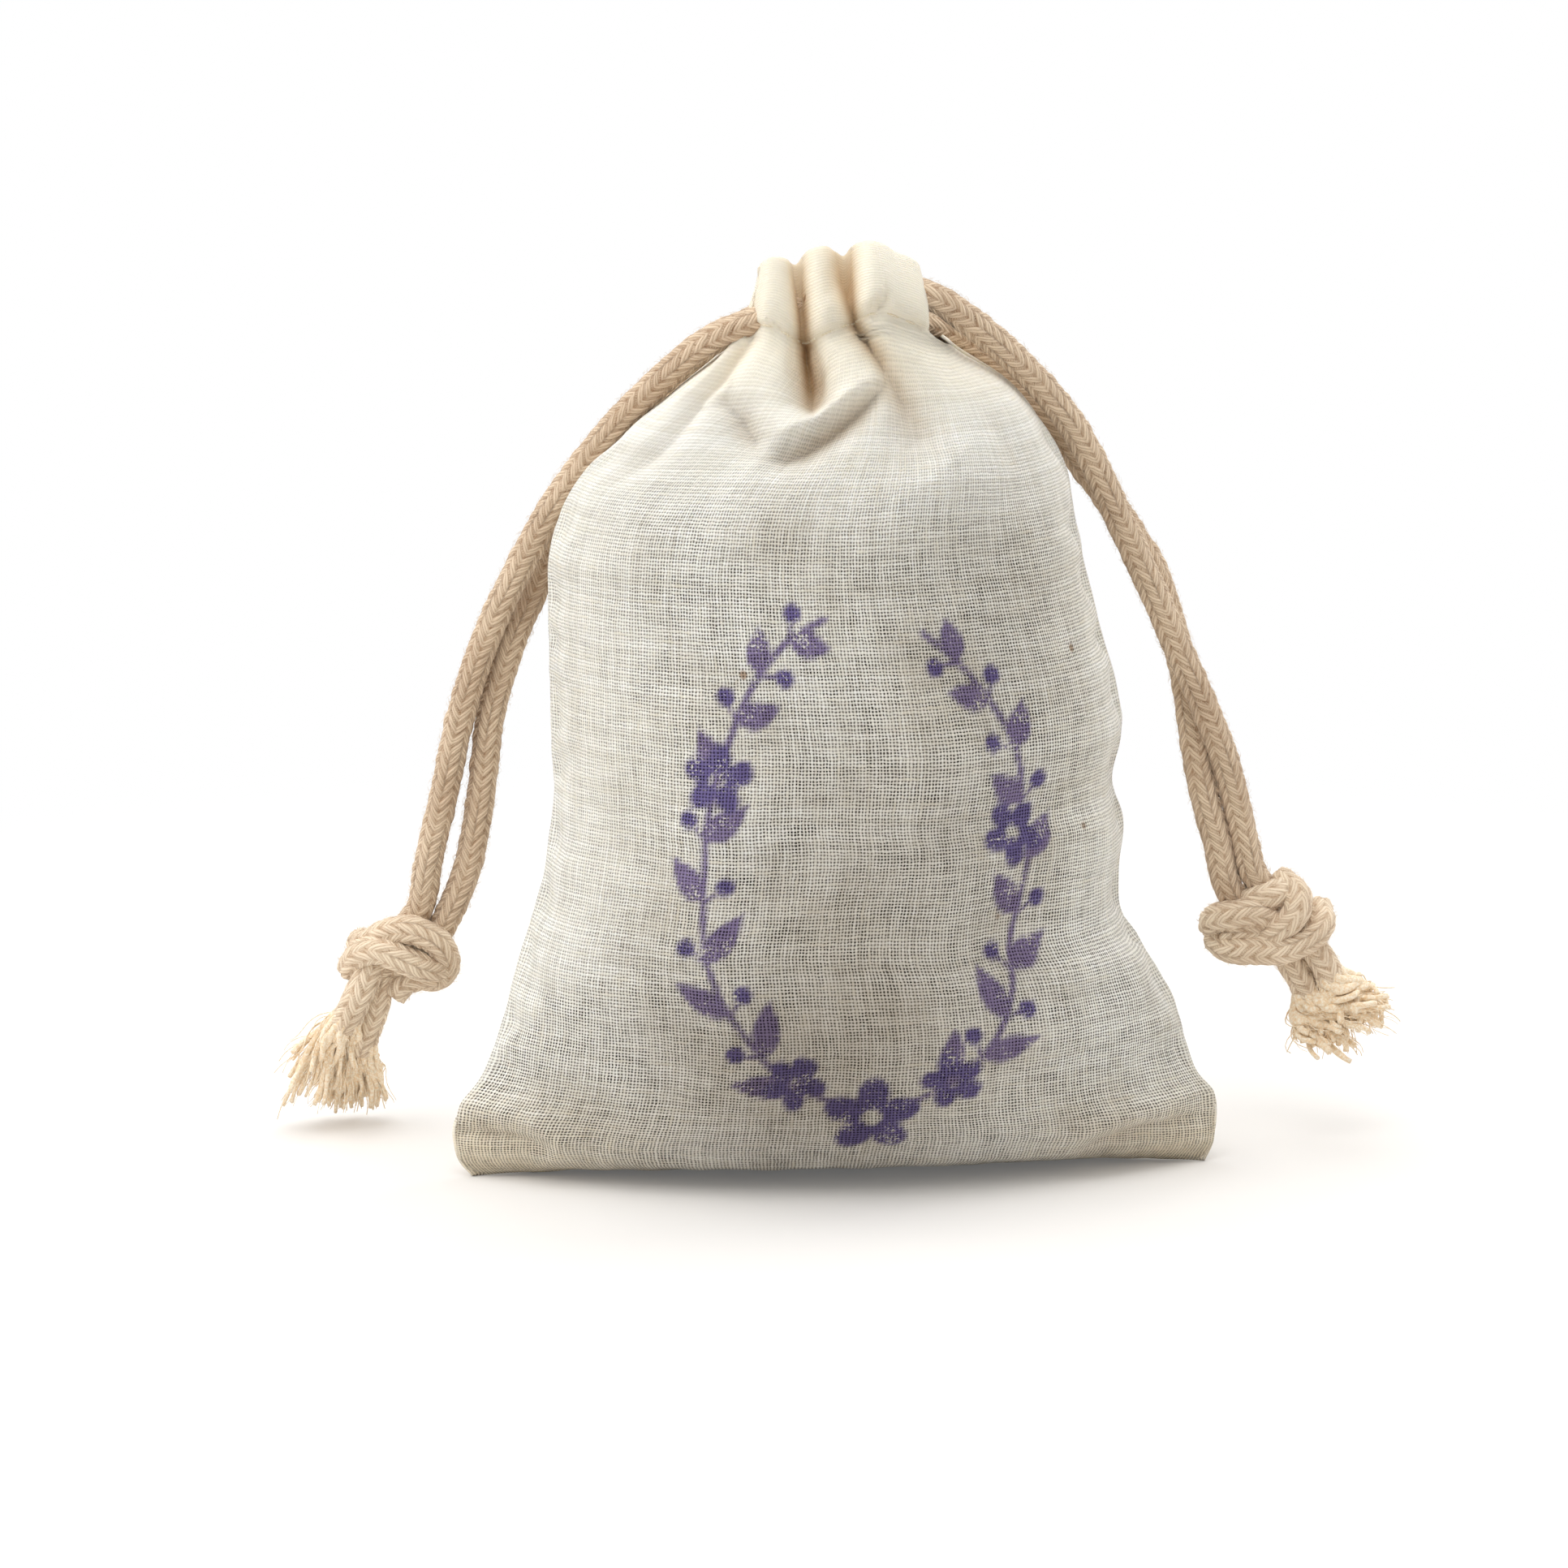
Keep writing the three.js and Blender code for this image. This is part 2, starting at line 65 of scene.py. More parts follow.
PHOTO_WIDTH = 1932
FOCAL_PIXELS = 6782
SENSOR_MM = 36
CAMERA_AZIMUTH = math.radians(-4.38)
CAMERA_ELEVATION = math.radians(12)
CAMERA_DISTANCE = 541.2 * MM
CAMERA_TARGET = Vector((-5.33, 0, 39.36)) * MM


def make_camera():
    data = bpy.data.cameras.new("camera")
    data.sensor_width = SENSOR_MM
    data.lens = FOCAL_PIXELS / PHOTO_WIDTH * SENSOR_MM
    data.clip_start = 0.01
    camera = placed("camera", data)
    level = math.cos(CAMERA_ELEVATION)
    across = math.sin(CAMERA_AZIMUTH) * level
    out = -math.cos(CAMERA_AZIMUTH) * level
    back = Vector((across, out, math.sin(CAMERA_ELEVATION)))
    camera.location = CAMERA_TARGET + back * CAMERA_DISTANCE
    camera.rotation_euler = (-back).to_track_quat("-Z", "Y").to_euler()
    bpy.context.scene.camera = camera


# Curves and meshes

STEPS_PER_SPAN = 24


def resample(points, step):
    """Points at even steps along a polyline."""
    points = np.asarray(points, float)
    gaps = np.linalg.norm(np.diff(points, axis=0), axis=1)
    lengths = np.r_[0, np.cumsum(gaps)]
    count = max(2, int(round(lengths[-1] / step)) + 1)
    even = np.linspace(0, lengths[-1], count)
    return np.column_stack([np.interp(even, lengths, column) for column in points.T])


def smooth_path(points, step):
    """A Catmull-Rom curve through the points, at even steps."""
    points = np.asarray(points, float)
    ends = np.vstack([2 * points[0] - points[1], points, 2 * points[-1] - points[-2]])
    t = np.linspace(0, 1, STEPS_PER_SPAN, endpoint=False)[:, None]
    fine = []
    for a, b, c, d in zip(ends, ends[1:], ends[2:], ends[3:]):
        cubic = -a + 3 * b - 3 * c + d
        square = 2 * a - 5 * b + 4 * c - d
        fine.append(0.5 * (2 * b + (c - a) * t + square * t**2 + cubic * t**3))
    return resample(np.vstack(fine + [points[-1:]]), step)


def profile(points):
    """A smooth function of height through points (height, value)."""
    fine = smooth_path(points, 0.2)
    order = np.argsort(fine[:, 0], kind="stable")
    return lambda height: np.interp(height, fine[order, 0], fine[order, 1])


def unit(vectors):
    return vectors / np.maximum(np.linalg.norm(vectors, axis=-1, keepdims=True), 1e-12)


def smoothstep(low, high, value):
    t = np.clip((value - low) / (high - low), 0, 1)
    return t * t * (3 - 2 * t)


def frames_along(path):
    """Unit tangents, and two directions across them that turn as little as they can."""
    tangents = unit(np.gradient(path, axis=0))
    start = np.cross(tangents[0], [0, 1, 0])
    if np.linalg.norm(start) < 0.1:
        start = np.cross(tangents[0], [1, 0, 0])
    across = []
    for tangent in tangents:
        start = unit(start - start.dot(tangent) * tangent)
        across.append(start)
    across = np.array(across)
    return tangents, across, np.cross(tangents, across)


def grid_faces(rows, columns, closed):
    """Quads of a grid of points, closed round its columns or open."""
    r = np.arange(rows - 1)[:, None]
    c = np.arange(columns if closed else columns - 1)[None, :]
    right = (c + 1) % columns
    quads = [r * columns + c, r * columns + right, (r + 1) * columns + right, (r + 1) * columns + c]
    return np.stack([np.broadcast_to(q, (rows - 1, c.size)) for q in quads], axis=-1).reshape(-1, 4)


class Pile:
    """Gathers the points, faces and point values of several shapes into one mesh."""

    def __init__(self):
        self.points = []
        self.faces = []
        self.values = {}
        self.count = 0

    def add(self, points, faces, **values):
        self.points.append(points.reshape(-1, 3))
        self.faces += [[self.count + int(i) for i in face] for face in faces]
        for name, value in values.items():
            self.values.setdefault(name, []).append(np.asarray(value, float).reshape(-1))
        self.count += len(self.points[-1])

    def build(self, name, material):
        mesh = bpy.data.meshes.new(name)
        mesh.from_pydata((np.vstack(self.points) * MM).tolist(), [], self.faces)
        for key, parts in self.values.items():
            attribute = mesh.attributes.new(key, "FLOAT", "POINT")
            attribute.data.foreach_set("value", np.concatenate(parts).astype(np.float32))
        mesh.polygons.foreach_set("use_smooth", [True] * len(mesh.polygons))
        mesh.materials.append(material)
        mesh.update()
        return placed(name, mesh)


def tube_shape(path, radii, angles):
    """Points and faces of a tube with flat ends, whose radii are given for each step and angle."""
    _, across, up = frames_along(path)
    circle = np.cos(angles)[None, :, None] * across[:, None] + np.sin(angles)[None, :, None] * up[:, None]
    points = path[:, None] + circle * radii[:, :, None]
    sides = len(angles)
    last = (len(path) - 1) * sides
    ends = [list(range(sides))[::-1], list(range(last, last + sides))]
    return points, grid_faces(len(path), sides, True).tolist() + ends


def round_tube(pile, path, radii, sides):
    """A plain tube along a path, of one radius or of one for each step."""
    angles = np.linspace(0, 2 * math.pi, sides, endpoint=False)
    pile.add(*tube_shape(path, np.broadcast_to(radii, len(path))[:, None], angles))


# Materials

class Graph:
    """The node tree of a material or the world. Each call adds a node and gives back its output."""

    def __init__(self, owner):
        owner.use_nodes = True
        self.owner = owner
        self.tree = owner.node_tree
        self.shader = self.tree.nodes.get("Principled BSDF")

    def put(self, value, socket):
        if isinstance(value, bpy.types.NodeSocket):
            self.tree.links.new(value, socket)
        else:
            socket.default_value = value

    def node(self, kind, inputs=(), output=0, **settings):
        node = self.tree.nodes.new(kind)
        for key, value in settings.items():
            setattr(node, key, value)
        for key, value in dict(inputs).items():
            self.put(value, node.inputs[key])
        return node.outputs[output]

    def math(self, operation, *values):
        return self.node("ShaderNodeMath", enumerate(values), operation=operation)

    def times(self, a, b):
        return self.math("MULTIPLY", a, b)

    def plus(self, a, b):
        return self.math("ADD", a, b)

    def minus(self, a, b):
        return self.math("SUBTRACT", a, b)

    def mix(self, factor, first, second, blend_type="MIX"):
        inputs = {0: factor, 6: first, 7: second}
        return self.node("ShaderNodeMix", inputs, 2, data_type="RGBA", blend_type=blend_type)

    def ease(self, value, low, high, start=0.0, end=1.0):
        inputs = {0: value, 1: low, 2: high, 3: start, 4: end}
        return self.node("ShaderNodeMapRange", inputs, interpolation_type="SMOOTHSTEP")

    def noise(self, vector, scale, detail=2.0, roughness=0.5):
        inputs = {"Vector": vector, "Scale": scale, "Detail": detail, "Roughness": roughness}
        return self.node("ShaderNodeTexNoise", inputs)

    def sway(self, vector, scale, reach):
        """Noise that swings to both sides of zero."""
        return self.times(self.minus(self.noise(vector, scale, 1.0), 0.5), reach)

    def attribute(self, name):
        return self.node("ShaderNodeAttribute", output=2, attribute_name=name)

    def combine(self, x, y, z=0.0):
        return self.node("ShaderNodeCombineXYZ", enumerate((x, y, z)))

    def bump(self, height, distance, strength=1.0):
        inputs = {"Height": height, "Distance": distance, "Strength": strength}
        self.surface({"Normal": self.node("ShaderNodeBump", inputs)})

    def seen_directly(self):
        """1 where a ray comes from the camera, or from it by way of a shiny or clear surface."""
        rays = self.node("ShaderNodeLightPath").node.outputs
        shiny = self.math("MAXIMUM", rays["Is Glossy Ray"], rays["Is Transmission Ray"])
        return self.math("MAXIMUM", rays["Is Camera Ray"], shiny)

    def surface(self, inputs):
        for key, value in inputs.items():
            self.put(value, self.shader.inputs[key])


def colour(r, g, b):
    """A linear colour from 0 to 255 values as they show on screen."""
    channels = []
    for value in (r, g, b):
        share = value / 255
        channels.append(share / 12.92 if share <= 0.04045 else ((share + 0.055) / 1.055) ** 2.4)
    return (*channels, 1)


# Muslin: widths and shifts of its threads are in thread pitches, and scales of noise in waves to a metre.
THREAD_PITCH = 0.335 * MM
HALF_WIDTHS = (0.17, 0.37)  # of the thinnest thread and of a slub
THREAD_BLUR = 0.07
SLUB_LENGTH = 11
QUIVER = 0.6
WARP = {"axis": 0, "drift_scale": 110.0, "drift": 1.6, "seed": 3.1}
WEFT = {"axis": 1, "drift_scale": 70.0, "drift": -1.6, "seed": 8.7}
FLECK_SCALE = 190.0
FLECK_SHARE = 0.07
DULL_THREAD = colour(228, 224, 214)
PALE_THREAD = colour(250, 248, 242)
SLUB_TAN = colour(214, 201, 174)
CLOUD_TAN = colour(220, 208, 182)
# painted highlight and warm glow of the neck
NECK_GLOW_CREAM = colour(255, 245, 224)
# painted warm glow of the thin ears, where light comes through the cloth
EAR_GLOW_SAND = colour(242, 216, 170)
FLECK_BROWN = colour(150, 112, 70)
BLOOM_INK = colour(76, 58, 138)
LEAF_INK = colour(118, 100, 152)
THREAD_SHADE = colour(120, 106, 84)
# painted shade of the inside of the bag, seen through the gaps
GAP = colour(34, 29, 24)
INKED_GAP = colour(22, 17, 32)
FILLED_SHADE = colour(150, 138, 122)
BUD_SHADE = colour(178, 166, 148)
CREASE_SHADE = colour(196, 158, 106)


def thread_set(g, uv, axis, drift_scale, drift, seed):
    """Parallel threads: each one's number, and at each point the thread's cover, slub and roundness."""
    flat = g.node("ShaderNodeSeparateXYZ", {0: uv}).node.outputs
    shift = g.plus(g.sway(uv, drift_scale, drift), g.sway(uv, 800.0 + 100.0 * seed, QUIVER))
    place = g.plus(g.math("DIVIDE", flat[axis], THREAD_PITCH), shift)
    index = g.math("FLOOR", place)
    off = g.math("ABSOLUTE", g.minus(g.math("FRACT", place), 0.5))
    run = g.math("DIVIDE", flat[1 - axis], THREAD_PITCH * SLUB_LENGTH)
    slub = g.noise(g.combine(g.times(index, 7.31), run, seed), 1.0, 1.0)
    width = g.ease(slub, 0.25, 0.75, *HALF_WIDTHS)
    return SimpleNamespace(
        index=index,
        off=off,
        cover=g.ease(off, g.minus(width, THREAD_BLUR), g.plus(width, THREAD_BLUR), 1.0, 0.0),
        slub=slub,
        tone=g.node("ShaderNodeTexWhiteNoise", {"W": index}, noise_dimensions="1D"),
        sides=g.math("POWER", g.math("DIVIDE", off, width), 2.0),
    )


def weave_gaps(g, uv, warp, weft):
    """How open the weave is between its threads, where some gaps are nearly closed, singly and in patches."""
    bare = [g.minus(1.0, threads.cover) for threads in (warp, weft)]
    corner = g.combine(warp.index, weft.index)
    cell = g.node("ShaderNodeTexWhiteNoise", {"Vector": corner}, noise_dimensions="2D")
    patch = g.ease(g.noise(uv, 240.0), 0.3, 0.62, 0.7, 1.0)
    closed = g.times(g.ease(cell, 0.0, 0.55, 0.55, 1.0), patch)
    return g.times(g.times(g.times(*bare), closed), g.attribute("open"))


def weave_height(g, warp, weft):
    """How high the weave stands, with warp and weft on top by turns."""
    parity = g.math("PINGPONG", g.plus(warp.index, weft.index), 1.0)
    both = g.times(warp.cover, weft.cover)
    warp_part = g.minus(warp.cover, g.times(both, g.minus(1.0, parity)))
    weft_part = g.minus(weft.cover, g.times(both, parity))
    warp_lit = g.times(rounded_thread(g, warp.sides, weft.off), warp_part)
    weft_lit = g.times(rounded_thread(g, weft.sides, warp.off), weft_part)
    return g.plus(warp_lit, weft_lit)


def rounded_thread(g, sides, off):
    """How high a thread stands: less towards its two sides and where it dives under the next one."""
    dive = g.times(g.math("POWER", off, 2.0), 1.8)
    return g.minus(g.minus(1.0, g.times(sides, 0.35)), dive)


def cotton_colour(g, uv, warp, weft):
    """Unbleached threads of uneven tone, tan slubs and clouds and brown flecks, with a painted highlight and
    warm glow on the neck and a painted warm glow on the ears.
    """
    tone = g.times(g.plus(warp.tone, weft.tone), 0.5)
    cloth = g.mix(tone, DULL_THREAD, PALE_THREAD)
    thick = g.math("MAXIMUM", warp.slub, weft.slub)
    cloth = g.mix(g.ease(thick, 0.62, 0.8, 0.0, 0.25), cloth, SLUB_TAN)
    cloth = g.mix(g.ease(g.noise(uv, 45.0, 3.0), 0.35, 0.7, 0.0, 0.18), cloth, CLOUD_TAN)
    # painted highlight and glow: the neck is lit from above and glows warm where light comes through the
    # cloth
    cloth = g.mix(g.attribute("neck_glow"), cloth, NECK_GLOW_CREAM)
    # painted warm glow of the ears, lit through the cloth
    cloth = g.mix(g.attribute("ear_glow"), cloth, EAR_GLOW_SAND)
    cells = g.node("ShaderNodeTexVoronoi", {"Vector": uv, "Scale": FLECK_SCALE, "Randomness": 1.0}).node
    rare = g.math("LESS_THAN", g.node("ShaderNodeSeparateXYZ", {0: cells.outputs["Color"]}), FLECK_SHARE)
    fleck = g.times(g.ease(cells.outputs["Distance"], 0.05, 0.11, 0.7, 0.0), rare)
    return g.mix(fleck, cloth, FLECK_BROWN)


def muslin_material():
    """Open plain weave: warp and weft with uneven threads, gaps painted dark as the shaded inside of the bag,
    slubs, flecks and printed ink, with painted shade and glow laid over them.
    """
    g = Graph(bpy.data.materials.new("muslin"))
    uv = g.node("ShaderNodeUVMap", uv_map="cloth")
    warp = thread_set(g, uv, **WARP)
    weft = thread_set(g, uv, **WEFT)
    gap = weave_gaps(g, uv, warp, weft)
    height = weave_height(g, warp, weft)
    dry = g.times(g.noise(uv, 3100.0, 2.0, 0.7), 0.7)
    patch = g.times(g.noise(uv, 420.0), 0.5)
    ink = g.times(g.attribute("ink"), g.ease(g.plus(dry, patch), 0.4, 0.56))
    ink_colour = g.mix(g.attribute("leaf"), BLOOM_INK, LEAF_INK)
    cloth = g.mix(g.times(ink, 0.88), cotton_colour(g, uv, warp, weft), ink_colour)
    weave_open = g.attribute("open")
    # painted shade on the threads: darker at their sides and where they dive under, most where the weave is
    # open
    relief = g.times(g.ease(height, 0.2, 1.0, 0.5, 0.0), g.plus(weave_open, 0.05))
    cloth = g.mix(relief, cloth, THREAD_SHADE, "MULTIPLY")
    # gaps painted dark: the shaded inside of the bag seen through the weave, purple where inked
    cloth = g.mix(g.times(gap, 0.95), cloth, g.mix(ink, GAP, INKED_GAP))
    # the dark buds behind the cloth, darkened further by painted shade low on the belly
    cloth = g.mix(g.attribute("buds_and_shade"), cloth, FILLED_SHADE, "MULTIPLY")
    # painted shadows of the buds pressed behind the cloth, where the weave is open
    buds = g.ease(g.noise(uv, 85.0, 3.0, 0.6), 0.44, 0.68, 0.0, 0.22)
    cloth = g.mix(g.times(buds, weave_open), cloth, BUD_SHADE, "MULTIPLY")
    # painted shade in the creases, tan as painted warm light passed through the cloth
    cloth = g.mix(g.times(g.attribute("crease"), 0.8), cloth, CREASE_SHADE, "MULTIPLY")
    g.surface({"Base Color": cloth, "Roughness": 0.95, "Specular IOR Level": 0.15, "Subsurface Weight": 0.18})
    g.surface({"Subsurface Radius": (1.0, 0.72, 0.42), "Subsurface Scale": 1.2 * MM})
    g.bump(g.minus(height, gap), 0.1 * MM, 0.7)
    return g.owner


YARNS_PER_STITCH = 3.0


def cord_material(name, light, dark):
    """Braided cotton with painted shade: pale on the crown of each stitch, tan between its yarns and in the
    grooves.
    """
    g = Graph(bpy.data.materials.new(name))
    place = g.node("ShaderNodeNewGeometry")
    fibre = g.noise(place, 5200.0, 3.0, 0.7)
    blotch = g.noise(place, 160.0, 2.0)
    groove = g.attribute("groove")
    ply = g.times(g.attribute("along"), YARNS_PER_STITCH)
    ply = g.math("PINGPONG", g.plus(ply, g.noise(place, 900.0, 1.0)), 0.5)
    # painted shade in the grooves and between the yarns
    base = g.mix(g.ease(groove, 0.15, 1.0, 0.0, 0.95), light, dark)
    base = g.mix(g.ease(ply, 0.0, 0.3, 0.55, 0.0), base, dark)
    base = g.mix(g.ease(fibre, 0.4, 0.75, 0.0, 0.45), base, light)
    base = g.mix(g.ease(blotch, 0.35, 0.7, 0.0, 0.25), base, dark)
    g.surface({"Base Color": base, "Roughness": 0.95, "Specular IOR Level": 0.1, "Sheen Weight": 0.2})
    g.bump(g.plus(fibre, g.times(ply, 1.6)), 0.12 * MM, 0.8)
    return g.owner


def yarn_material(name, light, dark, scale):
    """Loose cotton fibres or thread, streaked along their length."""
    g = Graph(bpy.data.materials.new(name))
    place = g.node("ShaderNodeNewGeometry")
    fibre = g.noise(place, scale, 3.0, 0.65)
    base = g.mix(g.ease(fibre, 0.3, 0.75), dark, light)
    g.surface({"Base Color": base, "Roughness": 0.9, "Specular IOR Level": 0.1, "Sheen Weight": 0.3})
    g.bump(fibre, 0.08 * MM, 0.6)
    return g.owner


def bud_material():
    """Dried lavender: grey violet with straw-coloured husks, and painted shade between the buds."""
    g = Graph(bpy.data.materials.new("buds"))
    place = g.node("ShaderNodeNewGeometry")
    cells = g.node("ShaderNodeTexVoronoi", {"Vector": place, "Scale": 420.0}).node
    tone = g.node("ShaderNodeSeparateXYZ", {0: cells.outputs["Color"]})
    base = g.mix(tone, colour(92, 84, 128), colour(150, 140, 128))
    # painted shade in the crevices between the buds
    base = g.mix(g.ease(cells.outputs["Distance"], 0.2, 0.7), base, colour(48, 42, 52))
    g.surface({"Base Color": base, "Roughness": 0.9})
    g.bump(cells.outputs["Distance"], 0.8 * MM, -0.6)
    return g.owner


MUSLIN = muslin_material()
# lit and shaded copies of one cord: a darker copy with painted shade for the strands, a lighter copy with
# painted light for the knots and stubs
SHADED_CORD = cord_material("cord", colour(234, 212, 184), colour(148, 108, 73))
LIT_CORD = cord_material("lit_cord", colour(250, 232, 206), colour(178, 140, 104))
THREAD = yarn_material("thread", colour(244, 236, 218), colour(222, 206, 174), 4200.0)
TUFT = yarn_material("tuft", colour(255, 247, 230), colour(236, 206, 164), 3600.0)
BUDS = bud_material()


# Cords

# Lengths of the cords are in millimetres.
CORD_RADIUS = 1.5
BRAID_STITCH = 1.35
BRAID_CROWN = 0.14  # share of the radius by which a stitch stands out
BRAID_COLUMNS = 8
POINTS_PER_COLUMN = 7
BRAID_ROWS = 8
COLUMN_DRIFT = 0.22  # share of a stitch by which a column runs ahead and behind again
UNEVEN = rng.uniform(0.5, 1.25, 997)  # how full each stitch of the braid is
COLUMN_SHIFT = rng.uniform(-0.16, 0.16, BRAID_COLUMNS)  # how far each column runs ahead of the next
FUZZ_PER_MM = 46
FUZZ_RADIUS = 0.02
FUZZ_LENGTH = (0.25, 0.8)
KNOT_CORD_RADIUS = 1.55
KNOT_HALF = 3.2
KNOT_STEP = 0.3
STRAND_STEP = 0.4
STRAND_SPREAD = 1.45
STRAND_SINK = 0.6  # how far the strands reach into their knot
STRAND_LEAD = 3  # how far they run straight above it
RUN_RADIUS = 0.9  # the cord is squeezed flat inside the gathered casing
RUN_LEVEL = {"left": 87.2, "right": 84.9}
VIEW_TILT = 0.21  # the knots are laid out as they are seen, from a little above
BAND_LEAD = 0.37  # share of a stitch by which each band of a knot is ahead of the last
YARNS = 58
HAIRS = 90  # finer fibres between the yarns of a tuft
HAIR_RADIUS = (0.04, 0.09)
HAIR_REACH = 1.25
YARN_POINTS = 26
YARN_TURN = 2.4  # radians from one yarn to the next round the root
ROOT_RADIUS = 1.15
FLARE_LENGTH = 2.2
FLARE_WIDTH = 0.9
TUFT_CLEARANCE = 0.45  # between the yarns and what the bag stands on

# Each cord's strands from the casing to the knot, then its knot, stubs and frayed tips seen from the front.
LEFT_ROUTE = {
    "towards": -1,
    "front": [
        (-6.5, -3.6, 86.2), (-9.3, -4.3, 85.4), (-12.3, -4, 84), (-15, -3, 82), (-18.4, -1, 78.6),
        (-21.7, 1, 74.9), (-25.6, 3, 69.7), (-28.6, 5, 64.8), (-31.2, 6.5, 59.7), (-34.2, 8, 53),
        (-36.8, 9.5, 44.9), (-38.6, 11, 36.4), (-40.2, 12.1, 29.4),
    ],
    "back": [
        (-6.5, 3.4, 84.6), (-12.6, 4.4, 81.9), (-15, 5.2, 79.6), (-18.3, 6.4, 75.9), (-21.9, 7.4, 71.6),
        (-25, 8.4, 67.1), (-27.3, 9, 62.5), (-29.5, 9.4, 57.2), (-31.6, 9.8, 52.3), (-33.8, 10.6, 44.7),
        (-34.9, 11.5, 36.2), (-36.3, 12.3, 28.6),
    ],
    "knot": (-43, 14, 19.2),
    "axis": (-0.566, 0.153, -0.81),
    "bands": [
        [
            (-4.2, -1.4, -1.5), (-3, -1.6, 0.8), (-1.1, -2.6, 2), (1.1, -2.8, 2.6), (3.3, -1.7, 2.4),
            (4.3, 0, 1.6), (4.2, 1.6, 0.4), (3, 2.2, -1), (1.2, 1.6, -2.2), (-0.6, 0.4, -2.4),
        ],
        [
            (-5.1, 1.2, -0.5), (-4.2, -0.3, 1.4), (-2.3, -0.8, 2.6), (-0.2, 0, 3), (1.7, 0.9, 2.6),
            (3.3, 1.2, 1.6), (4.5, 0.9, -0.5),
        ],
        [(3.4, 1.8, 0.2), (0.5, 2.4, 0.2), (-0.9, 3.8, 0)],
        [(1.2, -3.6, -0.6), (-1, 0, 0), (-3.4, 2, 0.4)],
        [(3.4, -3.2, -0.8), (1.6, -0.6, 0.2), (-2, 2.4, -0.6)],
        [(-4, -1, -2.4), (0, -1.6, -3.2), (3.6, 0, -2.6), (1.6, 2, -2.4), (-3, 2, -1.8)],
        [(-3, 0.6, -1.7), (0, 0.4, -2), (2.4, 0.4, -1.8)],
    ],
    "stubs": {
        "front": [(-1.8, -0.6, 0.2), (-3.2, 1.2, 1.2), (-4.2, 3.4, 1.6), (-5.3, 5.8, 0.7), (-6, 7, 0)],
        "back": [(-2, 1.4, 0), (-2.8, 5.3, -0.8), (-3.8, 8, -2), (-4.3, 9.6, -3)],
    },
    "tips": {"front": (-9.5, 13.4, -5), "back": (-5.6, 16.2, -8)},
    "spread": {"front": (3.4, 4.6, 2.8), "back": (4, 0.8, 2)},
    "curl": 0.34,
    "yarn": (0.2, 0.42),
}
RIGHT_ROUTE = {
    "towards": 1,
    "front": [
        (6.5, -3.6, 88.4), (9, -3.6, 87.6), (11.8, -2.6, 85.7), (14.5, -1.6, 83.6), (17.3, -0.6, 81),
        (20.1, 0.6, 78.1), (23, 1.8, 74.4), (25.8, 3, 69.6), (28.5, 4.2, 63.8), (30.6, 4.9, 59.6),
        (34.4, 5.2, 51.3), (37, 5.8, 45.7), (39.3, 6.6, 40), (41, 7.2, 34.2), (42.1, 7.4, 29.4),
    ],
    "back": [
        (6.5, 3.4, 84.8), (10.3, 3.6, 83.6), (12.6, 4.4, 82.4), (15.3, 5, 80.5), (18, 5.4, 78.2),
        (21, 5.6, 74.8), (24.4, 6.1, 70.2), (27.2, 6.9, 66.5), (30, 7.8, 62.4), (32.5, 8.4, 58.2),
        (34, 8.6, 53.6), (35.4, 8.5, 48.6), (36.3, 7.9, 42.5), (37.3, 7.4, 36.8), (38.9, 7.4, 31.2),
    ],
    "knot": (44.2, 8.5, 22.8),
    "axis": (0.53, 0.17, -0.83),
    "bands": [
        [(0.3, -0.3, 1.6), (-1.6, -0.8, 2.6), (-3.7, -0.6, 2.4), (-5.2, -0.2, 0.9), (-5.2, 0.6, -1)],
        [(1.1, -4.1, 0), (2.6, -2.8, 1.6), (2.6, -0.9, 2.9), (1.2, 0.8, 2.9), (-0.9, 2.2, 2)],
        [
            (-5, 1.9, -0.6), (-3.9, 3, 1.6), (-1.6, 3.1, 2.6), (1.2, 3.1, 3), (4, 2, 2.6),
            (5.4, 0.5, 1.4), (5.4, -1, -0.8),
        ],
        [(-2.6, -1.6, 1), (-0.5, -2.3, 2), (1.2, -2.9, 1.4), (2.2, -3.4, -0.6)],
        [(-3.6, -3, -0.4), (-2, 0.6, 0.4), (2.4, 4, 0.2)],
        [(-1.2, -3, -1), (1.6, 0.6, 0), (5, 3, 0.6)],
        [(-4.4, 0.6, -2), (-1, -2.4, -2.8), (3.6, -1.4, -2.6), (3, 2, -2.4), (-2, 3, -1.6)],
        [(-4.4, 1, 0.8), (-2.2, 1, 1.7), (1, 1.2, 1.9)],
        [(-3, 1.2, -1.5), (0, 0.2, -2), (2.6, 0, -1.8)],
    ],
    "stubs": {
        "front": [(3.6, 1, 0.6), (4.7, 3, 1.4), (5.9, 5, 1.6), (7, 6.9, 1.4)],
        "back": [(1.8, 2.6, 0), (2.8, 4.9, 0.4), (3.8, 6.6, 0.3), (4.8, 8.5, 0.1)],
    },
    "tips": {"front": (10, 10.6, 1.6), "back": (6.8, 13.2, 0.8)},
    "spread": {"front": (3, 2.8, 3), "back": (3, 1.8, 2.8)},
    "curl": 0.95,
    "yarn": (0.32, 0.56),
}
ROUTES = {"left": LEFT_ROUTE, "right": RIGHT_ROUTE}


